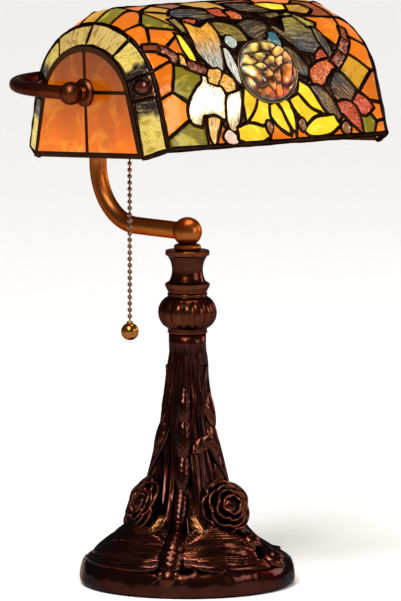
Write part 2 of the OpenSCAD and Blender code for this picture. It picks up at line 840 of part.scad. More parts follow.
module cabochons() {
    color([0.3, 0.65, 0.6]) in_shade()
        for (s = stones, side = [1, -1])
            on_skin(side * s[0], side * s[1]) translate([0, 0, glass_out + 0.2]) difference() {
                sphere(r = stone_r);
                translate([0, 0, -stone_r - 0.5]) cube(2 * stone_r + 1, center = true);
            }
}

// Boss in the middle of an end panel, seen along +X from the inside out
module pivot_boss(bore) {
    difference() {
        union() {
            rotate_extrude() polygon([
                [0, 0], [boss_r, 0], [boss_r, 1.6], [7.8, 3], [6, 3.6], [0, 3.6]
            ]);
            translate([0, 0, -end_frame_t]) cylinder(r = hub_r, h = end_frame_t + 1);
        }
        translate([0, 0, -end_frame_t - 1]) cylinder(r = bore, h = end_frame_t + 6);
    }
}

module pivot_boss_left() {
    color([0.15, 0.09, 0.07]) in_shade() translate([-shade_half, 0, 0]) rotate([0, -90, 0])
        pivot_boss(pivot_r + running_gap);
}

module pivot_boss_right() {
    color([0.15, 0.09, 0.07]) in_shade() translate([shade_half, 0, 0]) rotate([0, 90, 0])
        pivot_boss(screw_r + running_gap);
}

module friction_washers() {
    color([0.6, 0.6, 0.6]) in_shade() {
        difference() {
            x_rod(-hip_end, -hip_end + 1, 7.5);
            x_rod(-hip_end - 1, -hip_end + 2, pivot_r + 0.1);
        }
        difference() {
            x_rod(hip_end - 1, hip_end, 7.5);
            x_rod(hip_end - 2, hip_end + 1, screw_r + 0.1);
        }
    }
}

// ---- pull chain ----

// Half outline of one bead, from its lower pole to its upper pole
function bead(z) = arc([0, z], bead_r, -80, 80, 6);

module pull_chain() {
    color([0.62, 0.48, 0.25]) translate([chain_x, -shade_forward, 0])
        rotate_extrude($fn = 16) polygon(concat(
            [[0, chain_top_z - bead_count * bead_pitch]],
            [for (i = [bead_count - 1 : -1 : 0], p = bead(chain_top_z - i * bead_pitch)) p],
            [[0, chain_top_z + bead_r]]
        ));
}

module pull_ball() {
    top = chain_top_z - bead_count * bead_pitch;
    color([0.55, 0.4, 0.2]) translate([chain_x, -shade_forward, top - pull_r]) sphere(r = pull_r);
}

base_casting();
felt_pad();
base_plate();
ballast_weight();
threaded_rod();
lock_washer();
lock_nut();
cord_bushing();
dragonfly_figure();
dragonfly_wings();
rose_right();
rose_left();
rosebuds();
leaf_sprays();
neck_vase();
neck_collar();
neck_washer();
base_wire();
swivel_ball();
arm_tube();
yoke_hub();
yoke_hoop();
yoke_ball_left();
yoke_ball_right();
hollow_pivot();
pivot_screw();
pivot_knob();
pivot_nut();
arm_wire();
socket_cap();
socket_shell();
socket_liner();
switch_body();
screw_shell();
chain_bell();
bulb_cap();
bulb_glass();
bulb_filament();
shade_leading();
jewel_bezels();
end_frames();
front_border_panes();
back_border_panes();
front_picture_panes();
back_picture_panes();
front_dragonfly_panes();
back_dragonfly_panes();
shoulder_panes();
crown_panes();
hip_panes_left();
hip_panes_right();
end_panes_left();
end_panes_right();
rose_jewels();
cabochons();
pivot_boss_left();
pivot_boss_right();
friction_washers();
pull_chain();
pull_ball();
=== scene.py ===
import bpy
import math
import random
from collections import namedtuple
import numpy as np
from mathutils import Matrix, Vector, geometry, noise


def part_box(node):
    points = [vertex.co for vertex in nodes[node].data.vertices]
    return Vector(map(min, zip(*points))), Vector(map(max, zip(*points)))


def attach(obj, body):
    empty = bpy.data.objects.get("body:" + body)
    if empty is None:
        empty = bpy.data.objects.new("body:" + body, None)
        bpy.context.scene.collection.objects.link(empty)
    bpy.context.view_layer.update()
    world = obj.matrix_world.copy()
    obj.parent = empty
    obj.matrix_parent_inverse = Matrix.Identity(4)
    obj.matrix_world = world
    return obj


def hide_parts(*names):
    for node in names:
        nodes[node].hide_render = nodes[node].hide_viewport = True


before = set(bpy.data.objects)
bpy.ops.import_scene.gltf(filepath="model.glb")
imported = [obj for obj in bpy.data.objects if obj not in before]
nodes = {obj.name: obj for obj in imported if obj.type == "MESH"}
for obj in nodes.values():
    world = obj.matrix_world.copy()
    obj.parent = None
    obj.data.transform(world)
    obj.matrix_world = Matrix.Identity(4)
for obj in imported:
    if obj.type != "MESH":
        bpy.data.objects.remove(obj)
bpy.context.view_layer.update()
MM = 0.001

# ---------------------------------------------------------------- places and sizes
# The shade's sizes are the CAD's, in millimetres. Its own frame has its origin on the line of the pivots.
HIP_START = 92.0  # half length of the barrel, where the hips begin
HIP_END = 99.5  # where the hips meet the flat ends
ARCH_R = 60.0  # radius of the barrel's arch
BULGE = 1.0  # how much the barrel swells in its middle
END_R = 44.0  # radius of the arch at the flat ends
ARCH_Z = -9.5  # height of the arches' centre
FLARE = math.radians(14)  # lean of the skirts below the arch
RIM_MID = -36.0  # height of the barrel's rim
RIM_END = -41.0  # height of the rim at the flat ends
BEND_AT = 0.66  # part of the way down at which the arch gives over to the skirt
ACROSS = 120.0  # length of the picture from the top of the shade down to its rim
LEAN = math.radians(3)  # tilt of the shade at rest
LEVEL = 78.0  # from here on to the hip, the top of the barrel drops
BARREL_SQUASH = 8.0  # how much lower the arch is at the hip's start than its radius
END_SQUASH = 5.7  # the same at the flat ends
HIP_SLANT = 18.0  # length of the picture along a hip's slope
BASE_TURN = math.radians(-45)  # the sculpted front of the base looks this way

boss_low, boss_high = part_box("pivot_boss_left")
PIVOT = Vector((0.0, (boss_low.y + boss_high.y) / 2, (boss_low.z + boss_high.z) / 2))


# ---------------------------------------------------------------- mesh helpers
def new_piece(name, points, faces, material, body, replaces=(), slot=None, uvs=None, paint=None):
    """A smooth mesh object from points in metres, riding a body and standing for CAD nodes.

    paint maps an attribute's name to one colour or one number for each point."""
    mesh = bpy.data.meshes.new(name)
    mesh.from_pydata([tuple(p) for p in points], [], faces)
    if uvs is not None:
        layer = mesh.uv_layers.new(name="UVMap")
        for loop in mesh.loops:
            layer.data[loop.index].uv = uvs[loop.vertex_index]
    for attribute, values in (paint or {}).items():
        if isinstance(values[0], tuple):
            layer = mesh.attributes.new(attribute, "FLOAT_COLOR", "POINT")
            layer.data.foreach_set("color", [c for v in values for c in (*v, 1.0)])
        else:
            layer = mesh.attributes.new(attribute, "FLOAT", "POINT")
            layer.data.foreach_set("value", values)
    mesh.update()
    mesh.polygons.foreach_set("use_smooth", [True] * len(mesh.polygons))
    obj = bpy.data.objects.new(name, mesh)
    bpy.context.scene.collection.objects.link(obj)
    mesh.materials.append(material)
    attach(obj, body)
    if replaces:
        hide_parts(*replaces)
    return obj


class Shape:
    """Points and faces that grow as solids are added."""

    def __init__(self):
        self.points = []
        self.faces = []

    def add(self, points, faces):
        start = len(self.points)
        self.points += [Vector(p) for p in points]
        self.faces += [tuple(i + start for i in f) for f in faces]

    def piece(self, name, material, body, **more):
        return new_piece(name, self.points, self.faces, material, body, **more)


def grid_faces(rows, columns, closed=False):
    """Quads between rows of points; closed joins the last column to the first."""
    faces = []
    for r in range(rows - 1):
        for c in range(columns if closed else columns - 1):
            d = (c + 1) % columns
            faces.append((r * columns + c, r * columns + d, (r + 1) * columns + d, (r + 1) * columns + c))
    return faces


def sweep(path, radii, sides, normals=None, squash=1.0):
    """A closed tube along a path. squash flattens it along the normals."""
    rings = []
    count = len(path)
    side = None
    for i, p in enumerate(path):
        ahead = (path[min(i + 1, count - 1)] - path[max(i - 1, 0)]).normalized()
        if normals:
            up = normals[i]
        else:
            up = side if side is not None else Vector((0.3, 0.2, 1.0)).cross(ahead)
        across = ahead.cross(up).normalized()
        up = across.cross(ahead).normalized()
        side = up
        for k in range(sides):
            t = 2 * math.pi * k / sides
            rings.append(p + across * math.cos(t) * radii[i] + up * math.sin(t) * radii[i] * squash)
    faces = grid_faces(count, sides, closed=True)
    faces.append(tuple(reversed(range(sides))))
    faces.append(tuple(range((count - 1) * sides, count * sides)))
    return rings, faces


def turned(outline, sides, shape=None):
    """Points and faces of a body of revolution about Z. shape(angle, r, z) may move a point."""
    points = []
    for r, z in outline:
        for k in range(sides):
            t = 2 * math.pi * k / sides
            points.append(shape(t, r, z) if shape else Vector((r * math.cos(t), r * math.sin(t), z)))
    return points, grid_faces(len(outline), sides, closed=True)


def ball(centre, r, rows, columns):
    """Points and faces of a sphere."""
    points = [Vector(centre) + Vector((0, 0, r))]
    for i in range(1, rows):
        a = math.pi * i / rows
        for k in range(columns):
            t = 2 * math.pi * k / columns
            out = Vector((math.sin(a) * math.cos(t), math.sin(a) * math.sin(t), math.cos(a)))
            points.append(Vector(centre) + r * out)
    points.append(Vector(centre) - Vector((0, 0, r)))
    faces = [(0, 1 + k, 1 + (k + 1) % columns) for k in range(columns)]
    for i in range(rows - 2):
        for k in range(columns):
            a, b = 1 + i * columns + k, 1 + i * columns + (k + 1) % columns
            faces.append((a, a + columns, b + columns, b))
    last = len(points) - 1
    start = 1 + (rows - 2) * columns
    faces += [(start + (k + 1) % columns, start + k, last) for k in range(columns)]
    return points, faces


# ---------------------------------------------------------------- material helpers
class Tree:
    """A material's node tree, with short calls to add and join its nodes."""

    def __init__(self, name):
        self.material = bpy.data.materials.new(name)
        self.material.use_nodes = True
        self.tree = self.material.node_tree
        self.shader = self.tree.nodes["Principled BSDF"]

    def node(self, kind, inputs=None, **settings):
        made = self.tree.nodes.new(kind)
        for key, value in settings.items():
            setattr(made, key, value)
        for key, value in (inputs or {}).items():
            self.put(made.inputs[key], value)
        return made

    def put(self, socket, value):
        """Joins a socket to another node's output, or sets its plain value."""
        if isinstance(value, bpy.types.NodeSocket):
            self.tree.links.new(value, socket)
        else:
            socket.default_value = value

    def set(self, **values):
        """Sets inputs of the material's shader, with _ for the spaces in their names."""
        for key, value in values.items():
            self.put(self.shader.inputs[key.replace("_", " ")], value)

    def ramp(self, factor, *stops):
        """A run of colours, each at its own place between 0 and 1."""
        made = self.node("ShaderNodeValToRGB", {"Fac": factor})
        marks = made.color_ramp.elements
        while len(marks) < len(stops):
            marks.new(0.5)
        for mark, (place, colour) in zip(marks, stops):
            mark.position = place
            mark.color = (*colour, 1.0)
        return made.outputs["Color"]

    def noise(self, vector, scale, detail=4.0, distortion=0.0):
        made = self.node("ShaderNodeTexNoise", {"Vector": vector, "Scale": scale, "Detail": detail,
                                                "Distortion": distortion})
        return made.outputs["Fac"]

    def stretch(self, vector, scale):
        made = self.node("ShaderNodeMapping", {"Vector": vector, "Scale": scale})
        return made.outputs["Vector"]

    def math(self, operation, a, b=0.0, clamp=False):
        made = self.node("ShaderNodeMath", {0: a, 1: b}, operation=operation, use_clamp=clamp)
        return made.outputs[0]

    def plus(self, a, b, clamp=False):
        return self.math("ADD", a, b, clamp)

    def minus(self, a, b):
        return self.math("SUBTRACT", a, b)

    def times(self, a, b, clamp=False):
        return self.math("MULTIPLY", a, b, clamp)

    def mix(self, factor, a, b):
        made = self.node("ShaderNodeMix", {0: factor, 6: a, 7: b}, data_type="RGBA")
        return made.outputs[2]

    def bump(self, height, strength, distance):
        made = self.node("ShaderNodeBump", {"Height": height, "Strength": strength, "Distance": distance})
        return made.outputs["Normal"]

    def place(self):
        return self.node("ShaderNodeTexCoord").outputs["Object"]


def colour(r, g, b):
    return (r, g, b, 1.0)


# ---------------------------------------------------------------- metals, plastics and stage
FLAT_EDGE = 0.49  # Pointiness above which an edge counts as rubbed
WHITE = (1.0, 1.0, 1.0)


def metal(name, dark, light, rough, ripple=0.12, grain=900.0, shine=0.0, wear=0.5, edge_tint=WHITE):
    """Patinated metal: dark in the hollows, brighter where edges are rubbed and in soft patches.

    edge_tint colours its reflections at a grazing angle."""
    t = Tree(name)
    place = t.place()
    cloud = t.noise(place, 45.0, 6.0, 0.6)
    speck = t.noise(place, grain, 3.0)
    edge = t.node("ShaderNodeNewGeometry").outputs["Pointiness"]
    rubbed = t.times(t.minus(edge, FLAT_EDGE), 9.0 * wear, clamp=True)
    patch = t.times(t.minus(cloud, 0.42), 2.2, clamp=True)
    mixed = t.plus(rubbed, t.times(patch, 0.2), clamp=True)
    body = t.mix(mixed, colour(*dark), colour(*light))
    height = t.plus(t.times(cloud, 0.7), t.times(speck, 0.3))
    t.set(Base_Color=body, Metallic=1.0, Specular_Tint=colour(*edge_tint), Coat_Weight=shine,
          Coat_Roughness=0.08, Roughness=t.plus(t.times(speck, 0.16), rough - 0.06),
          Normal=t.bump(height, ripple, 0.0006))
    return t.material


def plain(name, base, rough, scale=700.0, ripple=0.1):
    """A finish of plastic or paper, with fine grain and soft variation of its colour."""
    t = Tree(name)
    place = t.place()
    grain = t.noise(place, scale, 5.0)
    darker = tuple(c * 0.75 for c in base)
    lighter = tuple(c * 1.25 for c in base)
    t.set(Base_Color=t.mix(grain, colour(*darker), colour(*lighter)), Normal=t.bump(grain, ripple, 0.0004),
          Roughness=t.plus(t.times(grain, 0.2), rough - 0.1))
    return t.material


def felt_cloth():
    """Dark green felt with a soft sheen."""
    t = Tree("felt")
    place = t.place()
    fibre = t.noise(place, 2600.0, 6.0, 1.5)
    cloud = t.noise(place, 90.0, 3.0)
    body = t.mix(t.times(fibre, cloud), colour(0.008, 0.02, 0.012), colour(0.03, 0.06, 0.035))
    t.set(Base_Color=body, Roughness=0.95, Sheen_Weight=0.4, Normal=t.bump(fibre, 0.5, 0.0005))
    return t.material


def lit_glass(name, tone, strength):
    """Glass of the bulb or its thread of light: smooth, faintly clouded and glowing."""
    t = Tree(name)
    cloud = t.noise(t.place(), 60.0, 3.0)
    glow = t.mix(cloud, colour(*tone), colour(1.0, 0.9, 0.7))
    t.set(Base_Color=glow, Roughness=0.2, Emission_Color=glow, Emission_Strength=strength,
          Normal=t.bump(cloud, 0.05, 0.0005))
    return t.material


BRONZE_EDGE = (0.30, 0.12, 0.08)
dark_bronze = metal("dark_bronze", (0.012, 0.0024, 0.0014), (0.12, 0.024, 0.010), 0.22, ripple=0.05,
                    shine=0.10, edge_tint=BRONZE_EDGE)
cast_bronze = metal("cast_bronze", (0.014, 0.0026, 0.0015), (0.24, 0.060, 0.022), 0.20, ripple=0.04,
                    shine=0.12, wear=0.3, edge_tint=BRONZE_EDGE)
# Partly painted highlight: a golden bronze for two leaves by the dragonfly's body, a gilt that also stands in
# for the warm highlights there
gilt_highlight_bronze = metal("gilt_highlight_bronze", (0.030, 0.008, 0.003), (0.46, 0.20, 0.065), 0.24, ripple=0.3,
                      wear=0.25)
copper_bronze = metal("copper_bronze", (0.20, 0.052, 0.012), (0.42, 0.135, 0.03), 0.32, ripple=0.06,
                      edge_tint=BRONZE_EDGE)
# Painted shade: a darker copy of the arm's bronze for the yoke, its balls and the pivot bosses
shaded_yoke_bronze = metal("shaded_yoke_bronze", (0.062, 0.014, 0.004), (0.17, 0.042, 0.012), 0.34, ripple=0.06, shine=0.06,
                    edge_tint=BRONZE_EDGE)
# Painted highlight: a lighter copy of the dark bronze for the neck's vase and collar
highlit_neck_bronze = metal("highlit_neck_bronze", (0.030, 0.0065, 0.0025), (0.20, 0.055, 0.016), 0.24, ripple=0.05,
                    shine=0.08, edge_tint=BRONZE_EDGE)
chain_bronze = metal("chain_bronze", (0.030, 0.010, 0.005), (0.30, 0.13, 0.05), 0.15, ripple=0.04, shine=0.5)
ball_brass = metal("ball_brass", (0.16, 0.055, 0.012), (0.55, 0.26, 0.07), 0.18, ripple=0.04,
                   edge_tint=(0.5, 0.25, 0.1))
antique_brass = metal("antique_brass", (0.16, 0.09, 0.035), (0.55, 0.36, 0.16), 0.3)
plain_brass = metal("plain_brass", (0.45, 0.30, 0.11), (0.75, 0.56, 0.26), 0.26)
plain_steel = metal("plain_steel", (0.32, 0.33, 0.34), (0.62, 0.62, 0.63), 0.32)
base_iron = metal("base_iron", (0.06, 0.06, 0.065), (0.16, 0.15, 0.15), 0.55, ripple=0.3)
leading = metal("leading", (0.010, 0.005, 0.003), (0.09, 0.040, 0.022), 0.3, ripple=0.3, grain=1400.0,
                edge_tint=(0.4, 0.3, 0.25))
lamp_cap = metal("lamp_cap", (0.4, 0.4, 0.4), (0.72, 0.71, 0.68), 0.24)
felt = felt_cloth()
black_plastic = plain("black_plastic", (0.012, 0.012, 0.012), 0.4)
wire_cover = plain("wire_cover", (0.03, 0.028, 0.026), 0.5, scale=1500.0)
socket_paper = plain("socket_paper", (0.55, 0.46, 0.32), 0.85, scale=1800.0, ripple=0.3)
bulb_glass = lit_glass("bulb_glass", (1.0, 0.72, 0.38), 7.0)
filament = lit_glass("filament", (1.0, 0.55, 0.18), 25.0)


# ---------------------------------------------------------------- stained glass materials
END_PAINTED_LIGHT_TOP = 0.352  # height above which the flat ends' glass is darkest, in metres: painted shade at the top, with painted light growing towards the bottom


def glass(name, along, across, cover, ripple, crackle=0.0, rough=0.16, dark=0.0, ends=False):
    """Leaded glass. Each pane's own colours and glow are on its points; the ends' are by their height, as
    painted light: brighter and more orange towards the bottom, darker towards the top.

    along and across are the sizes of the streaks, cover how much of the pane is streaked, ripple the
    depth of the surface's waves, crackle the weight of a network of fine cracks and dark the weight of
    dark streaks in the glass."""
    t = Tree(name)
    if ends:
        place = t.place()
        uv = t.stretch(place, (100.0, 100.0, 100.0))
        height = t.node("ShaderNodeSeparateXYZ", {"Vector": place}).outputs["Z"]
        # Painted light on the flat ends: brighter, more orange glass and more glow lower down, darkest at the
        # top
        level = t.times(t.minus(END_PAINTED_LIGHT_TOP, height), 16.0, clamp=True)
        tone = t.ramp(level, (0.0, (0.36, 0.062, 0.002)), (1.0, (0.84, 0.155, 0.002)))
        mark = t.ramp(level, (0.0, (0.50, 0.11, 0.004)), (1.0, (0.98, 0.27, 0.012)))
        glow = t.plus(t.times(level, 0.5), 0.42)
    else:
        uv = t.node("ShaderNodeUVMap").outputs["UV"]
        tone = t.node("ShaderNodeAttribute", attribute_name="tone").outputs["Color"]
        mark = t.node("ShaderNodeAttribute", attribute_name="mark").outputs["Color"]
        glow = t.node("ShaderNodeAttribute", attribute_name="glow").outputs["Fac"]
    streak = t.noise(t.stretch(uv, (along, across, across)), 1.0, 6.0, 0.9)
    cloud = t.noise(uv, 0.55, 3.0, 0.4)
    fine = t.noise(t.stretch(uv, (along * 2.0, across * 3.0, across * 3.0)), 1.6, 4.0)
    cracks = t.node("ShaderNodeTexVoronoi", {"Vector": uv, "Scale": 4.5}, feature="DISTANCE_TO_EDGE")
    line = t.minus(1.0, t.times(cracks.outputs["Distance"], 9.0, clamp=True))
    banded = t.times(t.minus(streak, 0.5 - 0.3 * (cover - 0.5)), 7.0, clamp=True)
    body = t.mix(banded, tone, mark)
    body = t.mix(t.times(line, crackle), body, colour(0.05, 0.01, 0.005))
    thread = t.noise(t.stretch(uv, (along * 1.2, across * 1.8, across)), 1.3, 5.0, 1.4)
    shadow = t.times(t.minus(thread, 0.51), 14.0 * dark, clamp=True)
    body = t.mix(t.times(shadow, min(1.0, dark)), body, colour(0.010, 0.007, 0.006))
    depth = t.plus(t.times(cloud, 0.9), t.plus(t.times(fine, 0.35), 0.36))
    height = t.plus(t.times(streak, 0.8), t.minus(t.times(fine, 0.4), t.times(line, crackle)))
    # The light comes through the glass, so its face is dark and its colour is in the glow
    t.set(Base_Color=t.mix(0.86, body, colour(0.0, 0.0, 0.0)), Roughness=rough, IOR=1.5,
          Specular_IOR_Level=0.28, Specular_Tint=colour(1.0, 0.75, 0.5), Coat_Weight=0.10,
          Coat_Roughness=0.04, Emission_Color=body, Emission_Strength=t.times(glow, depth),
          Normal=t.bump(height, ripple, 0.0012))
    return t.material


orange_glass = glass("orange_glass", 0.8, 1.3, 0.35, 0.12)
yellow_glass = glass("yellow_glass", 0.7, 1.2, 0.35, 0.10)
olive_glass = glass("olive_glass", 0.6, 1.3, 0.5, 0.16)
amber_glass = glass("amber_glass", 1.2, 3.2, 0.45, 0.7, crackle=0.25)
wing_glass = glass("wing_glass", 0.8, 7.0, 0.5, 1.0, dark=0.9, rough=0.1)
red_glass = glass("red_glass", 3.0, 3.0, 0.45, 0.6, crackle=0.8)
rose_glass = glass("rose_glass", 0.8, 1.6, 0.4, 0.1, rough=0.03)
stone_glass = glass("stone_glass", 0.8, 1.6, 0.4, 0.05, rough=0.05)
end_glass = glass("end_glass", 0.35, 0.6, 0.45, 0.1, ends=True)


def label(material):
    """The name a material was made with, without a number added after it."""
    return material.name.split(".")[0]


# A kind of pane: its glass, its colour and that of its streaks, how brightly it glows, how high its middle
# is domed in millimetres, and whether its outline is drawn with curves
Kind = namedtuple("Kind", "material tone mark glow dome curved")
KINDS = {
    "orange": Kind(orange_glass, (0.80, 0.17, 0.006), (0.95, 0.27, 0.015), 0.85, 0.0, False),
    "bright": Kind(orange_glass, (0.90, 0.24, 0.01), (1.0, 0.36, 0.03), 1.0, 0.0, False),
    "dusk": Kind(orange_glass, (0.38, 0.07, 0.012), (0.60, 0.12, 0.02), 0.55, 0.0, False),
    "yellow": Kind(yellow_glass, (0.93, 0.60, 0.02), (1.0, 0.80, 0.06), 1.05, 0.0, True),
    "amber": Kind(yellow_glass, (0.72, 0.34, 0.02), (0.42, 0.24, 0.02), 0.75, 0.0, False),
    "olive": Kind(olive_glass, (0.24, 0.19, 0.008), (0.62, 0.48, 0.04), 0.72, 0.0, False),
    "leaf": Kind(wing_glass, (0.34, 0.22, 0.03), (0.78, 0.56, 0.14), 0.62, 0.4, True),
    "brown": Kind(wing_glass, (0.045, 0.02, 0.01), (0.40, 0.22, 0.09), 0.40, 0.3, True),
    "smoke": Kind(wing_glass, (0.13, 0.065, 0.02), (0.66, 0.44, 0.16), 0.50, 0.3, True),
    "flame": Kind(wing_glass, (0.92, 0.42, 0.04), (1.0, 0.86, 0.55), 0.95, 0.3, True),
    # clear: pale glass whose strong glow is partly painted light, the bulb's hot spot seen through it
    "clear": Kind(wing_glass, (1.0, 0.93, 0.80), (1.0, 0.98, 0.93), 2.6, 0.3, True),
    "pale": Kind(wing_glass, (0.80, 0.76, 0.62), (0.95, 0.93, 0.85), 0.9, 0.3, True),
    "ember": Kind(red_glass, (0.70, 0.06, 0.012), (0.90, 0.16, 0.03), 0.75, 0.4, True),
    "nugget": Kind(red_glass, (0.80, 0.10, 0.015), (0.95, 0.36, 0.06), 0.80, 1.2, True),
    "honey": Kind(red_glass, (0.92, 0.40, 0.04), (1.0, 0.72, 0.25), 1.05, 1.2, True),
    "tail": Kind(red_glass, (0.30, 0.02, 0.008), (0.85, 0.40, 0.20), 0.55, 0.9, True),
    "milk": Kind(stone_glass, (0.62, 0.68, 0.60), (0.85, 0.88, 0.80), 0.55, 2.4, True),
    "turquoise": Kind(stone_glass, (0.07, 0.25, 0.30), (0.35, 0.62, 0.68), 0.45, 2.4, True),
    "blush": Kind(stone_glass, (0.80, 0.52, 0.40), (1.0, 0.86, 0.74), 0.95, 2.4, True),
    "drop": Kind(stone_glass, (0.40, 0.16, 0.05), (0.80, 0.50, 0.25), 0.45, 2.0, True),
    "ripple": Kind(amber_glass, (0.85, 0.60, 0.16), (0.42, 0.17, 0.02), 0.70, 0.4, False),
    "straw": Kind(amber_glass, (0.88, 0.66, 0.14), (0.46, 0.30, 0.03), 0.78, 0.4, False),
    "speckle": Kind(amber_glass, (0.02, 0.012, 0.01), (0.50, 0.36, 0.16), 0.35, 0.4, False),
    "solder": Kind(leading, (0.0, 0.0, 0.0), (0.0, 0.0, 0.0), 0.01, 0.6, False),
    "garnet": Kind(stone_glass, (0.09, 0.006, 0.004), (0.20, 0.015, 0.008), 0.35, 2.4, True),
}

# ---------------------------------------------------------------- the picture on the shade
# Places are in millimetres: along the shade, and down from the line along its top.
# Background panes, each round its own middle
BACKGROUND = [
    ("olive", -84, 7), ("orange", -64, 6), ("dusk", -40, 5), ("amber", -16, 6), ("dusk", 14, 5),
    ("orange", 46, 6), ("amber", 78, 7),
    ("amber", -57, 17), ("amber", -60, 26), ("olive", -70, 33), ("orange", -73, 46), ("orange", -90, 38),
    ("orange", -84, 22), ("orange", -89, 60), ("orange", -87, 74), ("olive", -70, 80),
    ("bright", -81, 97), ("olive", -72, 114), ("orange", -66, 57), ("solder", -33, 26), ("solder", 33, 36),
    ("dusk", 68, 29), ("orange", 82, 26), ("orange", 66, 46), ("orange", 86, 48), ("orange", 83, 66),
    ("amber", 75, 79), ("orange", 88, 92), ("orange", 86, 106), ("olive", 79, 112), ("orange", 88, 117),
    ("orange", -48, 116), ("orange", 62, 117), ("orange", -2, 119), ("orange", 30, 119), ("orange", 48, 119),
    ("solder", -46, 88), ("solder", 44, 92), ("solder", -26, 66), ("solder", 26, 70),
    ("solder", -43, 56), ("solder", 48, 62), ("solder", -12, 44), ("solder", 62, 96), ("solder", -36, 106),
]

# Panes of the picture, in the order in which they are laid: later ones cover earlier ones
PICTURE = [
    ("brown", [(-53, 27), (-44, 19), (-28, 19), (-17, 27), (-21, 33), (-40, 34)]),
    ("ember", [(-19, 22), (-9, 21), (-6, 28), (-10, 33), (-17, 30)]),
    ("nugget", [(-7, 27), (-1, 26), (2, 32), (0, 36), (-7, 35)]),
    ("brown", [(2, 13), (22, 13), (37, 22), (35, 30), (16, 29), (5, 25)]),
    ("yellow", [(24, 17), (37, 16), (50, 20), (45, 27), (34, 26)]),
    ("amber", [(51, 21), (61, 21), (64, 29), (58, 33), (46, 30)]),
    ("smoke", [(37, 33), (44, 33), (57, 43), (52, 47), (42, 42)]),
    ("smoke", [(20, 31), (31, 31), (34, 35), (24, 36)]),
    ("brown", [(-6, 40), (4, 37), (15, 39), (14, 49), (5, 54), (-4, 51)]),
    ("leaf", [(-29, 38), (-19, 38), (-10, 43), (-7, 55), (-17, 54), (-27, 47)]),
    ("leaf", [(-58, 32), (-52, 31), (-50, 45), (-56, 44)]),
    ("flame", [(-49, 35), (-44, 38), (-40, 43), (-36, 40), (-29, 36), (-29, 50), (-36, 74), (-46, 70),
               (-52, 58)]),
    ("ember", [(-49, 33), (-42, 32), (-36, 34), (-41, 38)]),
    ("yellow", [(-62, 46), (-58, 48), (-56, 62), (-57, 70), (-62, 60)]),
    ("pale", [(-31, 59), (-27, 60), (-25, 70), (-21, 82), (-26, 82), (-32, 71)]),
    ("clear", [(-53, 80), (-61, 84), (-70, 94), (-70, 104), (-62, 107), (-58, 99), (-51, 102), (-43, 104),
               (-39, 92), (-43, 83)]),
    ("flame", [(-57, 103), (-52, 102), (-46, 104), (-51, 112), (-55, 121), (-58, 112)]),
    ("clear", [(-38, 91), (-31, 88), (-25, 86), (-28, 97), (-34, 112), (-41, 108)]),
    ("tail", [(-50, 71), (-52, 76), (-66, 70), (-66, 64)]),
    ("honey", [(-66, 63), (-65, 69), (-71, 67), (-71, 61)]),
    ("tail", [(-71, 60), (-71, 66), (-82, 58), (-81, 53)]),
    ("dusk", [(-81, 52), (-82, 57), (-91, 51), (-89, 47)]),
    ("honey", [(-50, 75), (-42, 73), (-37, 77), (-43, 82), (-50, 80)]),
    ("honey", [(-37, 76), (-31, 80), (-30, 86), (-36, 86), (-42, 82)]),
    ("smoke", [(18, 42), (24, 44), (28, 49), (33, 38), (43, 36), (48, 50), (53, 64), (44, 66), (32, 63),
               (23, 53)]),
    ("ember", [(54, 62), (55, 70), (48, 76), (41, 73), (46, 66)]),
    ("smoke", [(52, 47), (56, 51), (60, 68), (55, 70), (51, 57)]),
    ("smoke", [(20, 59), (27, 64), (34, 74), (32, 81), (25, 78), (19, 68)]),
    ("nugget", [(36, 77), (44, 73), (52, 71), (54, 77), (50, 81), (43, 87), (37, 85)]),
    ("tail", [(55, 72), (64, 65), (69, 70), (61, 77)]),
    ("tail", [(65, 64), (72, 56), (76, 61), (70, 69)]),
    ("dusk", [(73, 55), (75, 48), (79, 50), (77, 60)]),
    ("smoke", [(57, 79), (63, 82), (73, 93), (67, 99), (56, 98), (51, 88)]),
    ("ember", [(66, 100), (73, 93), (80, 98), (84, 103), (77, 107), (72, 106)]),
    ("ember", [(55, 98), (64, 99), (70, 106), (71, 119), (66, 115), (58, 107)]),
    ("smoke", [(33, 87), (42, 88), (50, 97), (55, 107), (50, 111), (42, 101)]),
    ("yellow", [(-22, 85), (-13, 90), (-14, 97), (-25, 106), (-24, 95)]),
    ("yellow", [(-12, 93), (-3, 95), (-4, 103), (-12, 108), (-24, 107), (-15, 100)]),
    ("yellow", [(-3, 98), (2, 97), (7, 106), (9, 116), (2, 111), (-3, 105)]),
    ("yellow", [(5, 97), (11, 96), (14, 104), (14, 114), (10, 110)]),
    ("yellow", [(14, 95), (22, 93), (28, 99), (38, 104), (31, 108), (21, 105)]),
    ("yellow", [(25, 84), (32, 89), (38, 98), (41, 104), (31, 99), (23, 91)]),
    ("yellow", [(-33, 110), (-22, 109), (-9, 112), (-10, 117), (-22, 120), (-33, 117)]),
    ("yellow", [(22, 114), (34, 108), (47, 107), (51, 113), (41, 117), (28, 118)]),
    ("milk", [(-27, 55), (-22, 50), (-17, 55), (-22, 60)]),
    ("turquoise", [(12, 50), (17, 51), (19, 58), (15, 61), (12, 56)]),
    ("blush", [(-47, 115), (-42, 111), (-37, 115), (-42, 120)]),
    ("drop", [(-10, 110), (-8, 107), (-5, 110), (-8, 115)]),
    ("drop", [(17, 110), (20, 107), (23, 110), (20, 115)]),
    ("drop", [(53, 115), (57, 111), (61, 115), (57, 119)]),
]
# The rose jewel's middle, and its half width and half height
JEWEL = (0.0, 75.5, 23.5, 20.0)


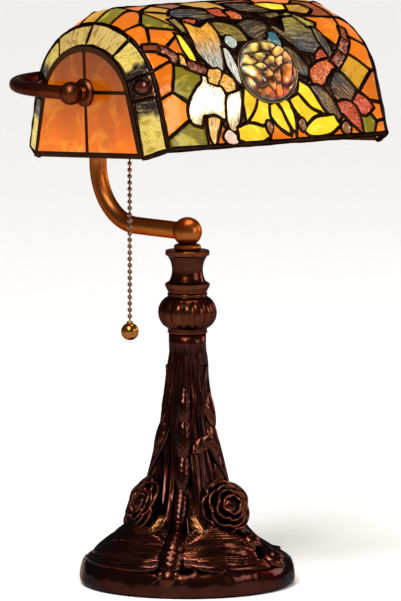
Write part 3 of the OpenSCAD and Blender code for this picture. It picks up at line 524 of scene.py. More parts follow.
# ---------------------------------------------------------------- the shade's surface
def section(x, across):
    """A point of the shade's skin in the shade's own frame: across runs from -1 in front to 1 behind."""
    hip = min(1.0, max(0.0, (abs(x) - HIP_START) / (HIP_END - HIP_START)))
    r = ARCH_R + (END_R - ARCH_R) * hip if hip > 0 else ARCH_R + BULGE * (1 - (x / HIP_START) ** 2)
    rim = RIM_MID + (RIM_END - RIM_MID) * hip
    low = BARREL_SQUASH * max(0.0, (abs(x) - LEVEL) / (HIP_START - LEVEL)) ** 1.25
    rise = r - (BARREL_SQUASH + (END_SQUASH - BARREL_SQUASH) * hip if hip > 0 else low)
    side = math.copysign(1.0, across)
    h = abs(across)
    turn = math.pi / 2 - FLARE
    if h <= BEND_AT:
        t = turn * h / BEND_AT
        return Vector((x, side * r * math.sin(t), ARCH_Z + rise * math.cos(t)))
    foot = ARCH_Z + rise * math.sin(FLARE)
    skirt = (foot - rim) * (h - BEND_AT) / (1 - BEND_AT)
    return Vector((x, side * (r * math.cos(FLARE) + skirt * math.tan(FLARE)), foot - skirt))


def in_lamp(p):
    """From the shade's own frame, in millimetres, to the lamp's, in metres."""
    y = p.y * math.cos(LEAN) + p.z * math.sin(LEAN)
    z = -p.y * math.sin(LEAN) + p.z * math.cos(LEAN)
    return Vector((p.x, y, z)) * MM + PIVOT


def skin_normal(x, across):
    """The outward direction of the skin in the shade's own frame."""
    along = section(x + 0.4, across) - section(x - 0.4, across)
    down = section(x, across + 0.003) - section(x, across - 0.003)
    n = along.cross(down).normalized()
    return n if n.dot(section(x, across) - Vector((0.0, 0.0, ARCH_Z))) > 0 else -n


def skin(x, across, out):
    """A point at a distance outside the skin, in the lamp's frame."""
    return in_lamp(section(x, across) + skin_normal(x, across) * out)


def skin_up(x, across):
    """The skin's outward direction in the lamp's frame."""
    return (skin(x, across, 1.0) - skin(x, across, 0.0)).normalized()


# ---------------------------------------------------------------- cutting a plan into panes
def clip(outline, point, normal):
    """The part of an outline behind a line through a point."""
    kept = []
    for i, p in enumerate(outline):
        q = outline[(i + 1) % len(outline)]
        a, b = (p - point).dot(normal), (q - point).dot(normal)
        if a <= 0:
            kept.append(p)
        if a * b < 0:
            kept.append(p + (q - p) * (a / (a - b)))
    return kept


def cells(middles, low, high):
    """The area that is nearest to each middle, inside a rectangle."""
    found = []
    for i, m in enumerate(middles):
        outline = [Vector(low), Vector((high[0], low[1])), Vector(high), Vector((low[0], high[1]))]
        for k, other in enumerate(middles):
            if k != i:
                outline = clip(outline, (m + other) / 2, other - m)
        found.append(outline)
    return found


def soften(points, sharp):
    """A smooth closed outline through a few points, with its sharp corners kept."""
    count = len(points)
    spots = [Vector(p) for p in points]
    corner = []
    for i, p in enumerate(spots):
        into, out = p - spots[i - 1], spots[(i + 1) % count] - p
        corner.append(math.degrees(into.angle(out)) > sharp)
    smooth = []
    for i in range(count):
        b, c = spots[i], spots[(i + 1) % count]
        start = (c - b) * 0.9 if corner[i] else (c - spots[i - 1]) / 2
        end = (c - b) * 0.9 if corner[(i + 1) % count] else (spots[(i + 2) % count] - b) / 2
        for t in (0.0, 0.25, 0.5, 0.75):
            smooth.append(b * (1 - 3 * t * t + 2 * t ** 3) + c * (3 * t * t - 2 * t ** 3)
                          + start * (t - 2 * t * t + t ** 3) + end * (t ** 3 - t * t))
    return smooth


STEP = 2.6  # longest side of an outline that is cut


def split(points):
    """The same outline with no side longer than a step."""
    fine = []
    for i, p in enumerate(points):
        q = points[(i + 1) % len(points)]
        parts = max(1, math.ceil((q - p).length / STEP))
        fine += [p + (q - p) * k / parts for k in range(parts)]
    return fine


def inside_of(outline, spots):
    """Which of many places lie inside an outline."""
    found = np.zeros(len(spots), dtype=bool)
    for p, q in zip(outline, outline[1:] + outline[:1]):
        if p.y == q.y:
            continue
        crossed = (spots[:, 1] < p.y) != (spots[:, 1] < q.y)
        found ^= crossed & (spots[:, 0] < p.x + (spots[:, 1] - p.y) * (q.x - p.x) / (q.y - p.y))
    return found


GRID = 3.2  # spacing of the loose points that keep a pane's triangles small enough to bend


def cut_plan(outlines, low, high, chance):
    """Cuts a rectangle along outlines laid over each other. Gives points, triangles and their outline."""
    points, edges = [], []
    for outline in outlines:
        fine = split(outline)
        edges += [(len(points) + i, len(points) + (i + 1) % len(fine)) for i in range(len(fine))]
        points += fine
    for i in range(int((high[0] - low[0]) / GRID) + 1):
        for k in range(int((high[1] - low[1]) / GRID) + 1):
            spot = Vector((low[0] + GRID * i, low[1] + GRID * k))
            points.append(spot + Vector((chance.uniform(-0.8, 0.8), chance.uniform(-0.8, 0.8))))
    cut = geometry.delaunay_2d_cdt(points, edges, [], 0, 0.01, False)
    corners = [Vector(p) for p in cut[0]]
    middles = np.array([sum((corners[i] for i in tri), Vector((0.0, 0.0))) / 3 for tri in cut[2]])
    owner = np.full(len(middles), -1)
    for i, outline in enumerate(outlines):
        owner[inside_of(outline, middles)] = i
    kept = (owner >= 0) & (middles > np.array(low)).all(1) & (middles < np.array(high)).all(1)
    return corners, [(tuple(tri), int(o)) for tri, o, k in zip(cut[2], owner, kept) if k]


def triangle_area(points, tri):
    a, b, c = (points[i] for i in tri)
    return abs((b - a).x * (c - a).y - (b - a).y * (c - a).x) / 2


def sides_of(tri):
    return [tuple(sorted((tri[k], tri[(k + 1) % 3]))) for k in range(3)]


def join_panes(points, triangles, smallest):
    """Groups the triangles into panes, and gives a pane that is too small to its nearest neighbour."""
    by_side = {}
    for t, (tri, _) in enumerate(triangles):
        for side in sides_of(tri):
            by_side.setdefault(side, []).append(t)
    owner = [o for _, o in triangles]
    for _ in range(4):
        pane = [-1] * len(triangles)
        members = []
        for start in range(len(triangles)):
            if pane[start] >= 0:
                continue
            found = [start]
            pane[start] = len(members)
            for t in found:
                for side in sides_of(triangles[t][0]):
                    for n in by_side[side]:
                        if pane[n] < 0 and owner[n] == owner[t]:
                            pane[n] = len(members)
                            found.append(n)
            members.append(found)
        changed = False
        for found in members:
            if sum(triangle_area(points, triangles[t][0]) for t in found) >= smallest:
                continue
            shared = {}
            for t in found:
                for side in sides_of(triangles[t][0]):
                    for n in by_side[side]:
                        if pane[n] != pane[t]:
                            length = (points[side[0]] - points[side[1]]).length
                            shared[owner[n]] = shared.get(owner[n], 0.0) + length
            if shared:
                best = max(shared, key=shared.get)
                for t in found:
                    owner[t] = best
                changed = True
        if not changed:
            break
    return owner, pane, by_side


def lines_between(points, pane, by_side):
    """The plan's lead lines: chains of sides that have different panes, or no pane, beyond them."""
    links = {}
    for side, users in by_side.items():
        if len({pane[t] for t in users}) > 1 or len(users) == 1:
            links.setdefault(side[0], set()).add(side[1])
            links.setdefault(side[1], set()).add(side[0])
    used = set()
    chains = []
    starts = [v for v in links if len(links[v]) != 2] + list(links)
    for start in starts:
        for step in sorted(links[start]):
            side = tuple(sorted((start, step)))
            if side in used:
                continue
            chain = [start, step]
            used.add(side)
            while len(links[chain[-1]]) == 2 and chain[-1] != start:
                ahead = [v for v in links[chain[-1]] if v != chain[-2]]
                side = tuple(sorted((chain[-1], ahead[0]))) if ahead else None
                if side is None or side in used:
                    break
                used.add(side)
                chain.append(ahead[0])
            chains.append([points[v] for v in chain])
    joints = [points[v] for v in links if len(links[v]) > 2]
    return chains, joints


def rim_sides(triangles):
    """The sides that only one of a pane's triangles has, each in the order of its triangle."""
    seen = {}
    for tri in triangles:
        for k in range(3):
            side = (tri[k], tri[(k + 1) % 3])
            seen.setdefault(tuple(sorted(side)), []).append(side)
    return [sides[0] for sides in seen.values() if len(sides) == 1]


def rim_depth(points, spots, rim):
    """How far each place lies from a pane's rim, from 0 on the rim to 1 where it is greatest."""
    edge = np.array([points[a] for a, _ in rim])
    depth = np.sqrt(((spots[:, None, :] - edge[None, :, :]) ** 2).sum(2)).min(1)
    return depth / max(depth.max(), 0.1)


PANE_HALF = 1.2  # half the thickness of a pane
LEAD_HIGH = 2.1  # how far a lead line stands out from the middle of the glass
JOINT_R = 1.9  # radius of the solder where lead lines meet


class Leaded:
    """Gathers the panes and the lead lines of the whole shade."""

    def __init__(self):
        self.panes = {}
        self.lead = Shape()
        self.chance = random.Random(11)

    def add_pane(self, kind, points, triangles, place, tint):
        """Adds a pane of a kind, from some of the plan's triangles, with its rim and its colours."""
        made = KINDS[kind]
        store = self.panes.setdefault(label(made.material), dict(
            material=made.material, points=[], faces=[], uvs=[], tone=[], mark=[], glow=[]))
        used = sorted({i for tri in triangles for i in tri})
        rim = rim_sides(triangles)
        spots = np.array([points[i] for i in used])
        depth = rim_depth(points, spots, rim)
        middle = spots.mean(0)
        tilt = (self.chance.uniform(-0.02, 0.02), self.chance.uniform(-0.02, 0.02))
        turn = self.chance.uniform(-0.4, 0.4) + self.streak_turn(kind, spots)
        shift = (self.chance.uniform(0, 50), self.chance.uniform(0, 50))
        level = self.chance.uniform(0.85, 1.12)
        start = len(store["points"])
        place_of = {}
        for n, i in enumerate(used):
            x, h = points[i]
            lift = made.dome * math.sqrt(max(0.0, depth[n] * (2 - depth[n])))
            slope = tilt[0] * (x - middle[0]) + tilt[1] * (h - middle[1])
            place_of[i] = start + 2 * n
            store["points"].append(place(x, h, PANE_HALF + lift + slope))
            store["points"].append(place(x, h, -PANE_HALF + slope))
            u = (x * math.cos(turn) + h * math.sin(turn)) / 10 + shift[0]
            v = (h * math.cos(turn) - x * math.sin(turn)) / 10 + shift[1]
            tone, mark, glow = tint(kind, x, h, depth[n])
            for _ in range(2):
                store["uvs"].append((u, v))
                store["tone"].append(tone)
                store["mark"].append(mark)
                store["glow"].append(glow * level)
        a, b, c = (place(*points[i], 0.0) for i in triangles[0])
        outward = place(*points[triangles[0][0]], 1.0) - a
        ahead = (b - a).cross(c - a).dot(outward) > 0
        for tri in triangles:
            top = tuple(place_of[i] for i in (tri if ahead else tri[::-1]))
            store["faces"].append(top)
            store["faces"].append(tuple(i + 1 for i in reversed(top)))
        for p, q in rim:
            p, q = (place_of[p], place_of[q]) if ahead else (place_of[q], place_of[p])
            store["faces"].append((q, p, p + 1, q + 1))

    def streak_turn(self, kind, spots):
        """The streaks of wing glass follow the pane's long axis; others lie along the shade."""
        if KINDS[kind].material != wing_glass:
            return 0.0
        long_axis = np.linalg.eigh(np.cov((spots - spots.mean(0)).T))[1][:, 1]
        return math.atan2(long_axis[1], long_axis[0])

    def add_line(self, chain, place, width, height):
        """A half-round line of lead along places of the plan."""
        kept = [chain[0]]
        for p in chain[1:-1]:
            if (p - kept[-1]).length > 0.8:
                kept.append(p)
        if (chain[-1] - kept[-1]).length < 0.5 and len(kept) > 1:
            kept.pop()
        kept.append(chain[-1])
        path = [place(p.x, p.y, 0.0) for p in kept]
        ups = [(place(p.x, p.y, 1.0) - place(p.x, p.y, 0.0)).normalized() for p in kept]
        radii = [MM * width * (1 + 0.22 * noise.noise(p * 140.0)) for p in path]
        self.lead.add(*sweep(path, radii, 8, ups, height / width))

    def add_net(self, kinds, outlines, low, high, place, smallest, width, tint):
        """Cuts a plan, then adds its panes and the lines between them."""
        points, triangles = cut_plan(outlines, low, high, self.chance)
        owner, pane, by_side = join_panes(points, triangles, smallest)
        groups = {}
        for t, p in enumerate(pane):
            groups.setdefault(p, []).append(t)
        for found in groups.values():
            kind = kinds[owner[found[0]]]
            if kind:
                self.add_pane(kind, points, [triangles[t][0] for t in found], place, tint)
        chains, joints = lines_between(points, pane, by_side)
        for chain in chains:
            self.add_line(chain, place, width, LEAD_HIGH)
        for p in joints:
            self.lead.add(*ball(place(p.x, p.y, 0.0), JOINT_R * MM, 6, 8))

    def finish(self):
        """Makes one piece of each glass's panes, and one of all the lead lines."""
        for slot, store in self.panes.items():
            new_piece("panes_" + slot, store["points"], store["faces"], store["material"], "shade", slot=slot,
                      uvs=store["uvs"], paint={k: store[k] for k in ("tone", "mark", "glow")})
        self.lead.piece("lead_lines", leading, "shade", slot="leading", replaces=SHADE_NODES)


SHADE_NODES = (
    "shade_leading", "jewel_bezels", "front_border_panes", "back_border_panes", "front_picture_panes",
    "back_picture_panes", "front_dragonfly_panes", "back_dragonfly_panes", "shoulder_panes", "crown_panes",
    "hip_panes_left", "hip_panes_right", "cabochons",
)


def ellipse(x, h, rx, ry, steps=56):
    """A closed outline round a place of the plan."""
    turns = [2 * math.pi * i / steps for i in range(steps)]
    return [Vector((x + rx * math.cos(t), h + ry * math.sin(t))) for t in turns]


# By glass: how far a pane's outline grows over its neighbours, and the turn in degrees that stays a corner
GROWTH = {"stone_glass": 0.4, "yellow_glass": 1.8}
CORNER = {"stone_glass": 200.0, "yellow_glass": 55.0}


def grown(kind, points):
    """A pane's outline, grown a little; stones have no corners."""
    middle = sum((Vector(p) for p in points), Vector((0.0, 0.0))) / len(points)
    of_glass = label(KINDS[kind].material)
    grow = GROWTH.get(of_glass, 1.1)
    spots = [Vector(p) + (Vector(p) - middle).normalized() * grow for p in points]
    return soften(spots, CORNER.get(of_glass, 70.0)) if KINDS[kind].curved else spots


def blend(a, b, part):
    """The colour between two others: the first at 0 and below, the second at 1 and above."""
    part = min(1.0, max(0.0, part))
    return tuple(p + (q - p) * part for p, q in zip(a, b))


def picture_tint(kind, x, h, depth):
    """The two colours and the glow at a place of the picture; some kinds of glass change across a pane, and
    the clear panes carry the bulb's hot spot as painted light.
    """
    tone, mark, glow = KINDS[kind][1:4]
    if kind == "flame" and h < 80:
        part = (h - 50) / 16
        tone = blend((0.95, 0.38, 0.02), (0.52, 0.50, 0.38), part)
        mark = blend((1.0, 0.70, 0.12), (0.95, 0.97, 0.92), part)
    if kind == "smoke" and 30 < x < 56 and h < 72:
        part = (h - 42) / 14
        tone = blend((0.50, 0.38, 0.05), (0.06, 0.07, 0.09), part)
        mark = blend((0.95, 0.74, 0.18), (0.72, 0.50, 0.24), part)
    if kind == "smoke" and h > 76:
        tone = blend((0.05, 0.06, 0.08), (0.16, 0.07, 0.03), (h - 80) / 14)
        mark = blend((0.50, 0.40, 0.28), (0.70, 0.38, 0.10), (h - 80) / 14)
    if kind == "brown":
        tone = blend((0.03, 0.04, 0.07), (0.07, 0.03, 0.012), (x + 45) / 22)
        mark = blend((0.30, 0.34, 0.36), (0.60, 0.40, 0.12), (x + 45) / 22)
    # Painted light: the bulb's hot spot seen through the clear panes, white and glowing most in each pane's
    # middle, warmer at its rim, and warmer and dimmer lower down
    if kind == "clear":
        part = (h - 97) / 9
        tone = blend((0.95, 0.62, 0.24), blend((1.0, 0.95, 0.84), (1.0, 0.72, 0.28), part), 1.4 * depth)
        mark = blend((1.0, 0.84, 0.55), mark, 1.4 * depth)
        glow = 0.9 + 2.8 * depth * (1 - min(1.0, max(0.0, part)))
    return tone, mark, glow


def picture_outlines():
    """The kinds and outlines of the front's panes; the jewel's opening comes last."""
    low, high = (-HIP_START, 0.0), (HIP_START, ACROSS)
    kinds = [kind for kind, _, _ in BACKGROUND]
    outlines = cells([Vector((x, h)) for _, x, h in BACKGROUND], low, high)
    for kind, points in PICTURE:
        kinds.append(kind)
        outlines.append(grown(kind, points))
    kinds.append(None)
    outlines.append(ellipse(*JEWEL))
    return kinds, outlines, low, high


# Panes of a hip: kind, and how far down the shade each begins and ends. A round garnet sits in the solder.
HIP_PANES = [("ripple", 0, 37), ("straw", 37, 68), ("solder", 68, 85), ("straw", 85, 120)]
GARNET_DOWN = 76.5
GARNET_R = 5.5
HIP_LEAST = 8.0  # smallest area of a pane, in square millimetres
HIP_LEAD = 1.9  # half width of its lead lines


def hip_tint(kind, x, h, depth):
    """The two yellow panes of a hip are dark and speckled next to the garnet."""
    dark = kind == "straw" and (58 < h < 68 or 85 < h < 96)
    return KINDS["speckle" if dark else kind][1:4]


def make_hip(leaded, end, half):
    """The panes of one hip, on the front or the back half of the shade."""
    def place(u, h, out):
        return skin(end * (HIP_START + (HIP_END - HIP_START) * u / HIP_SLANT), half * h / ACROSS, out)

    kinds = [kind for kind, _, _ in HIP_PANES] + ["garnet"]
    outlines = [[Vector((0, a)), Vector((HIP_SLANT, a)), Vector((HIP_SLANT, b)), Vector((0, b))]
                for _, a, b in HIP_PANES]
    outlines.append(ellipse(HIP_SLANT / 2, GARNET_DOWN, GARNET_R, GARNET_R, 20))
    leaded.add_net(kinds, outlines, (0.0, 0.0), (HIP_SLANT, ACROSS), place, HIP_LEAST, HIP_LEAD, hip_tint)


PETALS = 16  # petals round the jewel's middle one
PETAL_TURN = 2.4  # turn from each petal to the next, in radians
JEWEL_RINGS = 60
JEWEL_TURNS = 180
JEWEL_DOME = 4.4  # height of the jewel's dome
PETAL_RISE = 2.4  # how far the petals stand out from it


def jewel_petals():
    """Middles and sizes of the jewel's petals, on a spiral inside a circle of radius 1."""
    petals = [(Vector((0.0, 0.0)), 0.10)]
    for n in range(1, PETALS + 1):
        reach, turn = 0.85 * (n / PETALS) ** 0.62, PETAL_TURN * n
        petals.append((Vector((reach * math.cos(turn), reach * math.sin(turn))), 0.12 + 0.18 * reach))
    return petals


def petal_height(petals, t, rho):
    """How far the petals stand out at a place of the jewel, from 0 in the gaps to 1 on their outer edges."""
    bent = t + 0.5 * math.sin(3 * t + 2) * rho
    spot = Vector((rho * math.cos(bent), rho * math.sin(bent)))
    near = sorted(((spot - middle).length - size, n) for n, (middle, size) in enumerate(petals))
    gap = near[1][0] - near[0][0]
    middle, size = petals[near[0][1]]
    fold = 0.5 + 0.5 * (spot - middle).dot(middle.normalized() if middle.length else spot) / size
    return min(1.0, 7 * gap) * min(1.0, max(0.0, 0.25 + 0.85 * fold)) * min(1.0, 6 * (1 - rho))


def jewel_tint(x, down, rho, petal):
    """Colour, colour of the streaks and glow: amber above, red below, pale at the rim. The gaps between the
    petals keep a dark colour as painted shade, and the petals' raised edges turn pale and glow more as
    painted highlights.
    """
    red = min(1.0, max(0.0, 0.42 + 0.03 * (0.6 * x + down)))
    h = down + JEWEL[1]
    cloud = 0.5 + 0.9 * noise.noise(Vector((x * 0.2, h * 0.2, 4.0)))
    hue = 0.5 + 0.9 * noise.noise(Vector((x * 0.11, h * 0.11, 9.0)))
    low = blend((0.05, 0.025, 0.006), (0.16, 0.010, 0.003), red)
    high = blend(blend((0.30, 0.28, 0.10), (1.0, 0.62, 0.12), 2 * hue), (0.90, 0.10, 0.01), red)
    # Painted highlights: the raised petal edges turn near white; the gaps between petals stay dark as painted
    # shade
    high = blend(high, (1.0, 0.90, 0.62), 3 * (petal * cloud - 0.55))
    part = min(1.0, max(0.0, 1.7 * petal * (0.35 + cloud) - 0.25))
    if rho > 0.9:
        low, high = (0.10, 0.08, 0.05), (0.55, 0.48, 0.34)
    return blend(low, high, part), blend(low, blend(high, (1.0, 0.85, 0.5), 0.5), part), 0.3 + 1.1 * part


def make_jewel(side):
    """A domed rose of swirled glass: petals in a spiral are raised on it, with a thin brass ring round it."""
    x0, h0, rx, ry = JEWEL
    points, tints, uvs = [], [], []
    petals = jewel_petals()
    for i in range(JEWEL_RINGS + 1):
        rho = i / JEWEL_RINGS
        for k in range(JEWEL_TURNS):
            t = 2 * math.pi * k / JEWEL_TURNS
            petal = petal_height(petals, t, rho)
            x, h = x0 + rx * rho * math.cos(t), h0 + ry * rho * math.sin(t)
            out = 0.8 + JEWEL_DOME * math.sqrt(max(0.0, 1 - rho ** 2)) + PETAL_RISE * petal
            points.append(skin(side * -x, side * h / ACROSS, out))
            tints.append(jewel_tint(x, h - h0, rho, petal))
            uvs.append((x / 10, h / 10))
    faces = grid_faces(JEWEL_RINGS + 1, JEWEL_TURNS, closed=True)
    face_name = "front" if side < 0 else "back"
    new_piece("rose_jewel_" + face_name, points, faces, rose_glass, "shade",
              replaces=("rose_jewels",), slot="rose_glass", uvs=uvs,
              paint=dict(zip(("tone", "mark", "glow"), zip(*tints))))
    around = ellipse(x0, h0, rx + 0.4, ry + 0.4, 90)
    path = [skin(side * -p.x, side * p.y / ACROSS, 2.0) for p in around + around[:1]]
    ups = [skin_up(side * -p.x, side * p.y / ACROSS) for p in around + around[:1]]
    ring = Shape()
    ring.add(*sweep(path, [0.55 * MM] * len(path), 8, ups))
    ring.piece("jewel_ring_" + face_name, antique_brass, "shade", slot="antique_brass")


PICTURE_LEAST = 16.0  # as for the hips: smallest area of a pane, and half width of its lead lines
PICTURE_LEAD = 1.7
RIM_LEAD = (2.0, 2.3)  # half width and height of the line along the rim


def make_shade():
    """Both long sides of the shade: the same picture, turned half round for the back."""
    leaded = Leaded()
    kinds, outlines, low, high = picture_outlines()
    for side in (-1, 1):
        def place(x, h, out, side=side):
            return skin(-side * x, side * h / ACROSS, out)
        leaded.add_net(kinds, outlines, low, high, place, PICTURE_LEAST, PICTURE_LEAD, picture_tint)
        make_jewel(side)
        for end in (-1, 1):
            make_hip(leaded, end, side)
        rim = [Vector((x, ACROSS)) for x in np.linspace(-HIP_START, HIP_START, 70)]
        leaded.add_line(rim, place, *RIM_LEAD)
    leaded.finish()


# ---------------------------------------------------------------- base
# Handles of the curve, as radius and height, that the casting's slope follows from the column to the foot
FLARE_CURVE = [(16, 118), (20, 75), (28, 32), (66, 17)]
FOOT_TOP = 17.0
COLUMN_FOOT = (16, 118)
COLUMN_TOP = (12.2, 153)
SEAT_Z = 164.6  # top of the casting, where the neck stands
INLET_Z = 9.0  # height of the cord's way out at the back of the foot
INLET_R = 5.6


def bezier(points, t):
    """Place on a curve with four handles, from the first at 0 to the last at 1."""
    a, b, c, d = (Vector(p) for p in points)
    return (1 - t) ** 3 * a + 3 * (1 - t) ** 2 * t * b + 3 * (1 - t) * t * t * c + t ** 3 * d


def base_outline():
    """Outer outline of the casting from under its foot up to the top of the column."""
    foot = [(66.1, 3.5), (66.1, 0.8), (68.2, 0.8), (69.3, 1.6), (70.0, 2.9), (70.4, 4.6), (70.5, 6.6),
            (70.4, 8.6), (70.1, 10.6), (69.6, 12.4), (68.9, 14.2), (68.0, 15.6), (67.0, 16.6)]
    slope = [tuple(bezier(FLARE_CURVE, 1 - i / 90)) for i in range(91)]
    column = [tuple(Vector(COLUMN_FOOT).lerp(Vector(COLUMN_TOP), i / 22)) for i in range(1, 23)]
    top = [(12.2, 158), (12.2, SEAT_Z), (5, SEAT_Z)]
    return foot + slope + column + top


def slope_height(r):
    """Height of the casting's slope at a distance from its axis."""
    for i in range(60):
        p = bezier(FLARE_CURVE, i / 60)
        if p.x >= r:
            return p.y
    return FOOT_TOP


BARK_TOP = 157  # above this height the casting is smooth


def round_noise(t, wide, z):
    """Noise that closes on itself round the axis. A greater width gives narrower folds."""
    return noise.noise(Vector((math.cos(t) * wide, math.sin(t) * wide, z)))


def bark(t, r, z):
    """Point of the casting, with soft upright folds like bark that run out over the foot."""
    if z > BARK_TOP or r < 12 or z < 1:
        raised = 0.0
    elif z < 16 and r > 60:
        raised = 0.4 - 1.6 * abs(round_noise(t, 2.6, z * 0.05)) - 0.5 * abs(round_noise(t, 11, z * 0.12))
    else:
        fold = 0.42 - 2.2 * abs(round_noise(t + 0.0035 * z, 3.1, z * 0.011))
        small = 0.25 - 1.6 * abs(round_noise(t, 8.5, z * 0.02 + 7))
        lump = round_noise(t, r * 0.045, z * 0.045 + 3)
        fade = min(1.0, (BARK_TOP - z) / 12) * min(1.0, max(0.15, (70 - r) / 6))
        raised = fade * (2.6 * fold + 0.9 * small + 1.2 * lump)
    lift = raised * min(1.0, max(0.0, (r - 25) / 30)) * 0.8
    reach = r + raised * 0.8
    return Vector((reach * math.cos(t), reach * math.sin(t), z + lift)) * MM


def on_base(p):
    """From the sculpted front's own frame, in millimetres, to the lamp's, in metres."""
    c, s = math.cos(BASE_TURN), math.sin(BASE_TURN)
    return Vector((p[0] * c - p[1] * s, p[0] * s + p[1] * c, p[2])) * MM


def make_casting():
    """The casting's skin, left open where the cord comes out at the back."""
    points, faces = turned(base_outline(), 420, bark)
    way_out = on_base((0, 70.5, INLET_Z))
    kept = []
    for f in faces:
        middle = sum((points[i] for i in f), Vector()) / 4
        if (middle - way_out).length > INLET_R * MM:
            kept.append(f)
    new_piece("casting", points, kept, dark_bronze, "base", replaces=("base_casting",), slot="dark_bronze")


def slab(rows, thick):
    """A closed thin solid from a grid of points in metres."""
    count, width = len(rows), len(rows[0])
    flat = [p for row in rows for p in row]
    ups = []
    for r in range(count):
        for c in range(width):
            down = rows[min(r + 1, count - 1)][c] - rows[max(r - 1, 0)][c]
            along = rows[r][min(c + 1, width - 1)] - rows[r][max(c - 1, 0)]
            ups.append(along.cross(down).normalized() * thick / 2)
    points = [p + n for p, n in zip(flat, ups)] + [p - n for p, n in zip(flat, ups)]
    faces = grid_faces(count, width)
    far = len(flat)
    faces += [tuple(i + far for i in reversed(f)) for f in grid_faces(count, width)]
    ring = list(range(width)) + [r * width + width - 1 for r in range(1, count)]
    ring += [(count - 1) * width + c for c in range(width - 2, -1, -1)]
    ring += [r * width for r in range(count - 2, 0, -1)]
    for a, b in zip(ring, ring[1:] + ring[:1]):
        faces.append((b, a, a + far, b + far))
    return points, faces


def spread(points, u):
    """Place on a smooth line through a few points, from the first at 0 to the last at 1."""
    f = u * (len(points) - 1)
    i = min(int(f), len(points) - 2)
    s = f - i
    a, b, c, d = (Vector(points[min(max(i + k, 0), len(points) - 1)]) for k in (-1, 0, 1, 2))
    bend = (2 * a - 5 * b + 4 * c - d) * s ** 2 + (3 * b - 3 * c + d - a) * s ** 3
    return 0.5 * (2 * b + (c - a) * s + bend)


# Middle and radius of the dragonfly's body, from its head on the foot to the tip of its tail
SPINE = [(-7, -62.5, 12), (-5.5, -55, 24), (-3.5, -40, 39), (-2, -29.5, 56),
         (-1.5, -24.5, 74), (-1, -21, 92), (-1, -18.5, 112), (-1, -16, 131)]
SPINE_R = [7.4, 9.2, 5.2, 4.9, 4.7, 4.5, 4.2, 3.2]
SPINE_ROWS = 260
SPINE_SIDES = 28
CHEST = 0.16  # part of the body that is head and chest; the rest is the ringed tail
SEGMENTS = 5
HEAD_R = 8.4
EYE_R = 3.6


def along_spine(t):
    """Place and radius along the dragonfly's body, from its head at 0 to its tail at 1."""
    f = t * (len(SPINE) - 1)
    i = min(int(f), len(SPINE) - 2)
    part = f - i
    return spread(SPINE, t), SPINE_R[i] + (SPINE_R[i + 1] - SPINE_R[i]) * part


def make_dragonfly():
    """The bronze dragonfly: ringed abdomen, rough thorax, head with two eyes."""
    body = Shape()
    path, radii = [], []
    for i in range(SPINE_ROWS):
        t = i / (SPINE_ROWS - 1)
        p, r = along_spine(t)
        turn = math.pi * SEGMENTS * (t - CHEST) / (1 - CHEST)
        ring = 0.66 + 0.44 * abs(math.sin(turn)) ** 0.6 if t > CHEST else 1.0
        path.append(on_base(p))
        radii.append(r * MM * ring * min(1.0, 0.75 + 4 * t) * min(1.0, 0.25 + 9 * (1 - t)))
    points, faces = sweep(path, radii, SPINE_SIDES)
    for i, p in enumerate(points):
        row, turn = i // SPINE_SIDES, (i % SPINE_SIDES) * 2 * math.pi / SPINE_SIDES
        scale = 0.4 * MM if row < 46 else 0.16 * MM
        points[i] = p + (p - path[row]).normalized() * math.sin(row * 0.9) * math.sin(turn * 7) * scale
    body.add(points, faces)
    head = Vector(SPINE[0])
    body.add(*ball(on_base(head), HEAD_R * MM, 20, 28))
    for side in (-1, 1):
        body.add(*ball(on_base(head + Vector((side * 5.0, -3.6, 2.6))), EYE_R * MM, 14, 20))
        feeler = [on_base(head + Vector((side * (2 + 2.4 * k), -4 - 1.2 * k, 3 - 1.4 * k))) for k in range(5)]
        body.add(*sweep(feeler, [r * MM for r in (0.7, 0.65, 0.6, 0.5, 0.3)], 8))
    body.piece("bronze_dragonfly", cast_bronze, "base", replaces=("dragonfly_figure",), slot="cast_bronze")


WING_ALONG = 64  # steps of a wing's surface from the body outwards
WING_ACROSS = 60


def wing_rows(upper, lower, swell):
    """A swollen wing on the foot, with veins that spread from its root at the body."""
    rows = []
    for i in range(WING_ALONG + 1):
        u = i / WING_ALONG
        top, low = spread(upper, u), spread(lower, u)
        row = []
        for k in range(WING_ACROSS + 1):
            v = k / WING_ACROSS
            p = low + (top - low) * v
            drift = 0.45 * math.sin(3.2 * u + 4 * v) + 0.35 * noise.noise(Vector((3 * u, 3 * v, swell)))
            veins = abs(math.sin(math.pi * (3.4 * v + drift))) ** 0.8
            full = math.sin(math.pi * v) ** 0.55 * min(1.0, 1.4 * (1 - u) ** 0.5)
            full *= 0.72 + 0.28 * min(1.0, 5 * u)
            lift = swell * full + veins * (3.2 - 2.2 * u) * min(1.0, 6 * v, 6 * (1 - v)) - 1.0
            flat = Vector((p.x, p.y))
            r = flat.length + 0.35 * lift
            z = max(FOOT_TOP - 1.2, slope_height(flat.length)) + 0.95 * lift
            row.append(on_base((p.x * r / flat.length, p.y * r / flat.length, z)))
        rows.append(row)
    return rows


# Upper and lower edges of the wings seen from above, from the body outwards, and how far each swells
WINGS = [
    ([(-4, -45), (-15, -30), (-36, -10), (-50, 3), (-60, 7)],
     [(-5, -52), (-22, -47), (-44, -32), (-56, -16), (-62, -1)], 6.0),
    ([(-4, -51), (-22, -46), (-45, -31), (-58, -14), (-65, -1)],
     [(-6, -59), (-27, -60), (-48, -46), (-61, -26), (-67, -6)], 3.2),
    ([(-1, -45), (10, -34), (31, -26), (41, -19)], [(0, -52), (18, -48), (38, -38), (48, -29)], 5.0),
    ([(-1, -51), (18, -47), (38, -38), (52, -29)], [(0, -59), (23, -61), (43, -50), (57, -35)], 3.2),
]


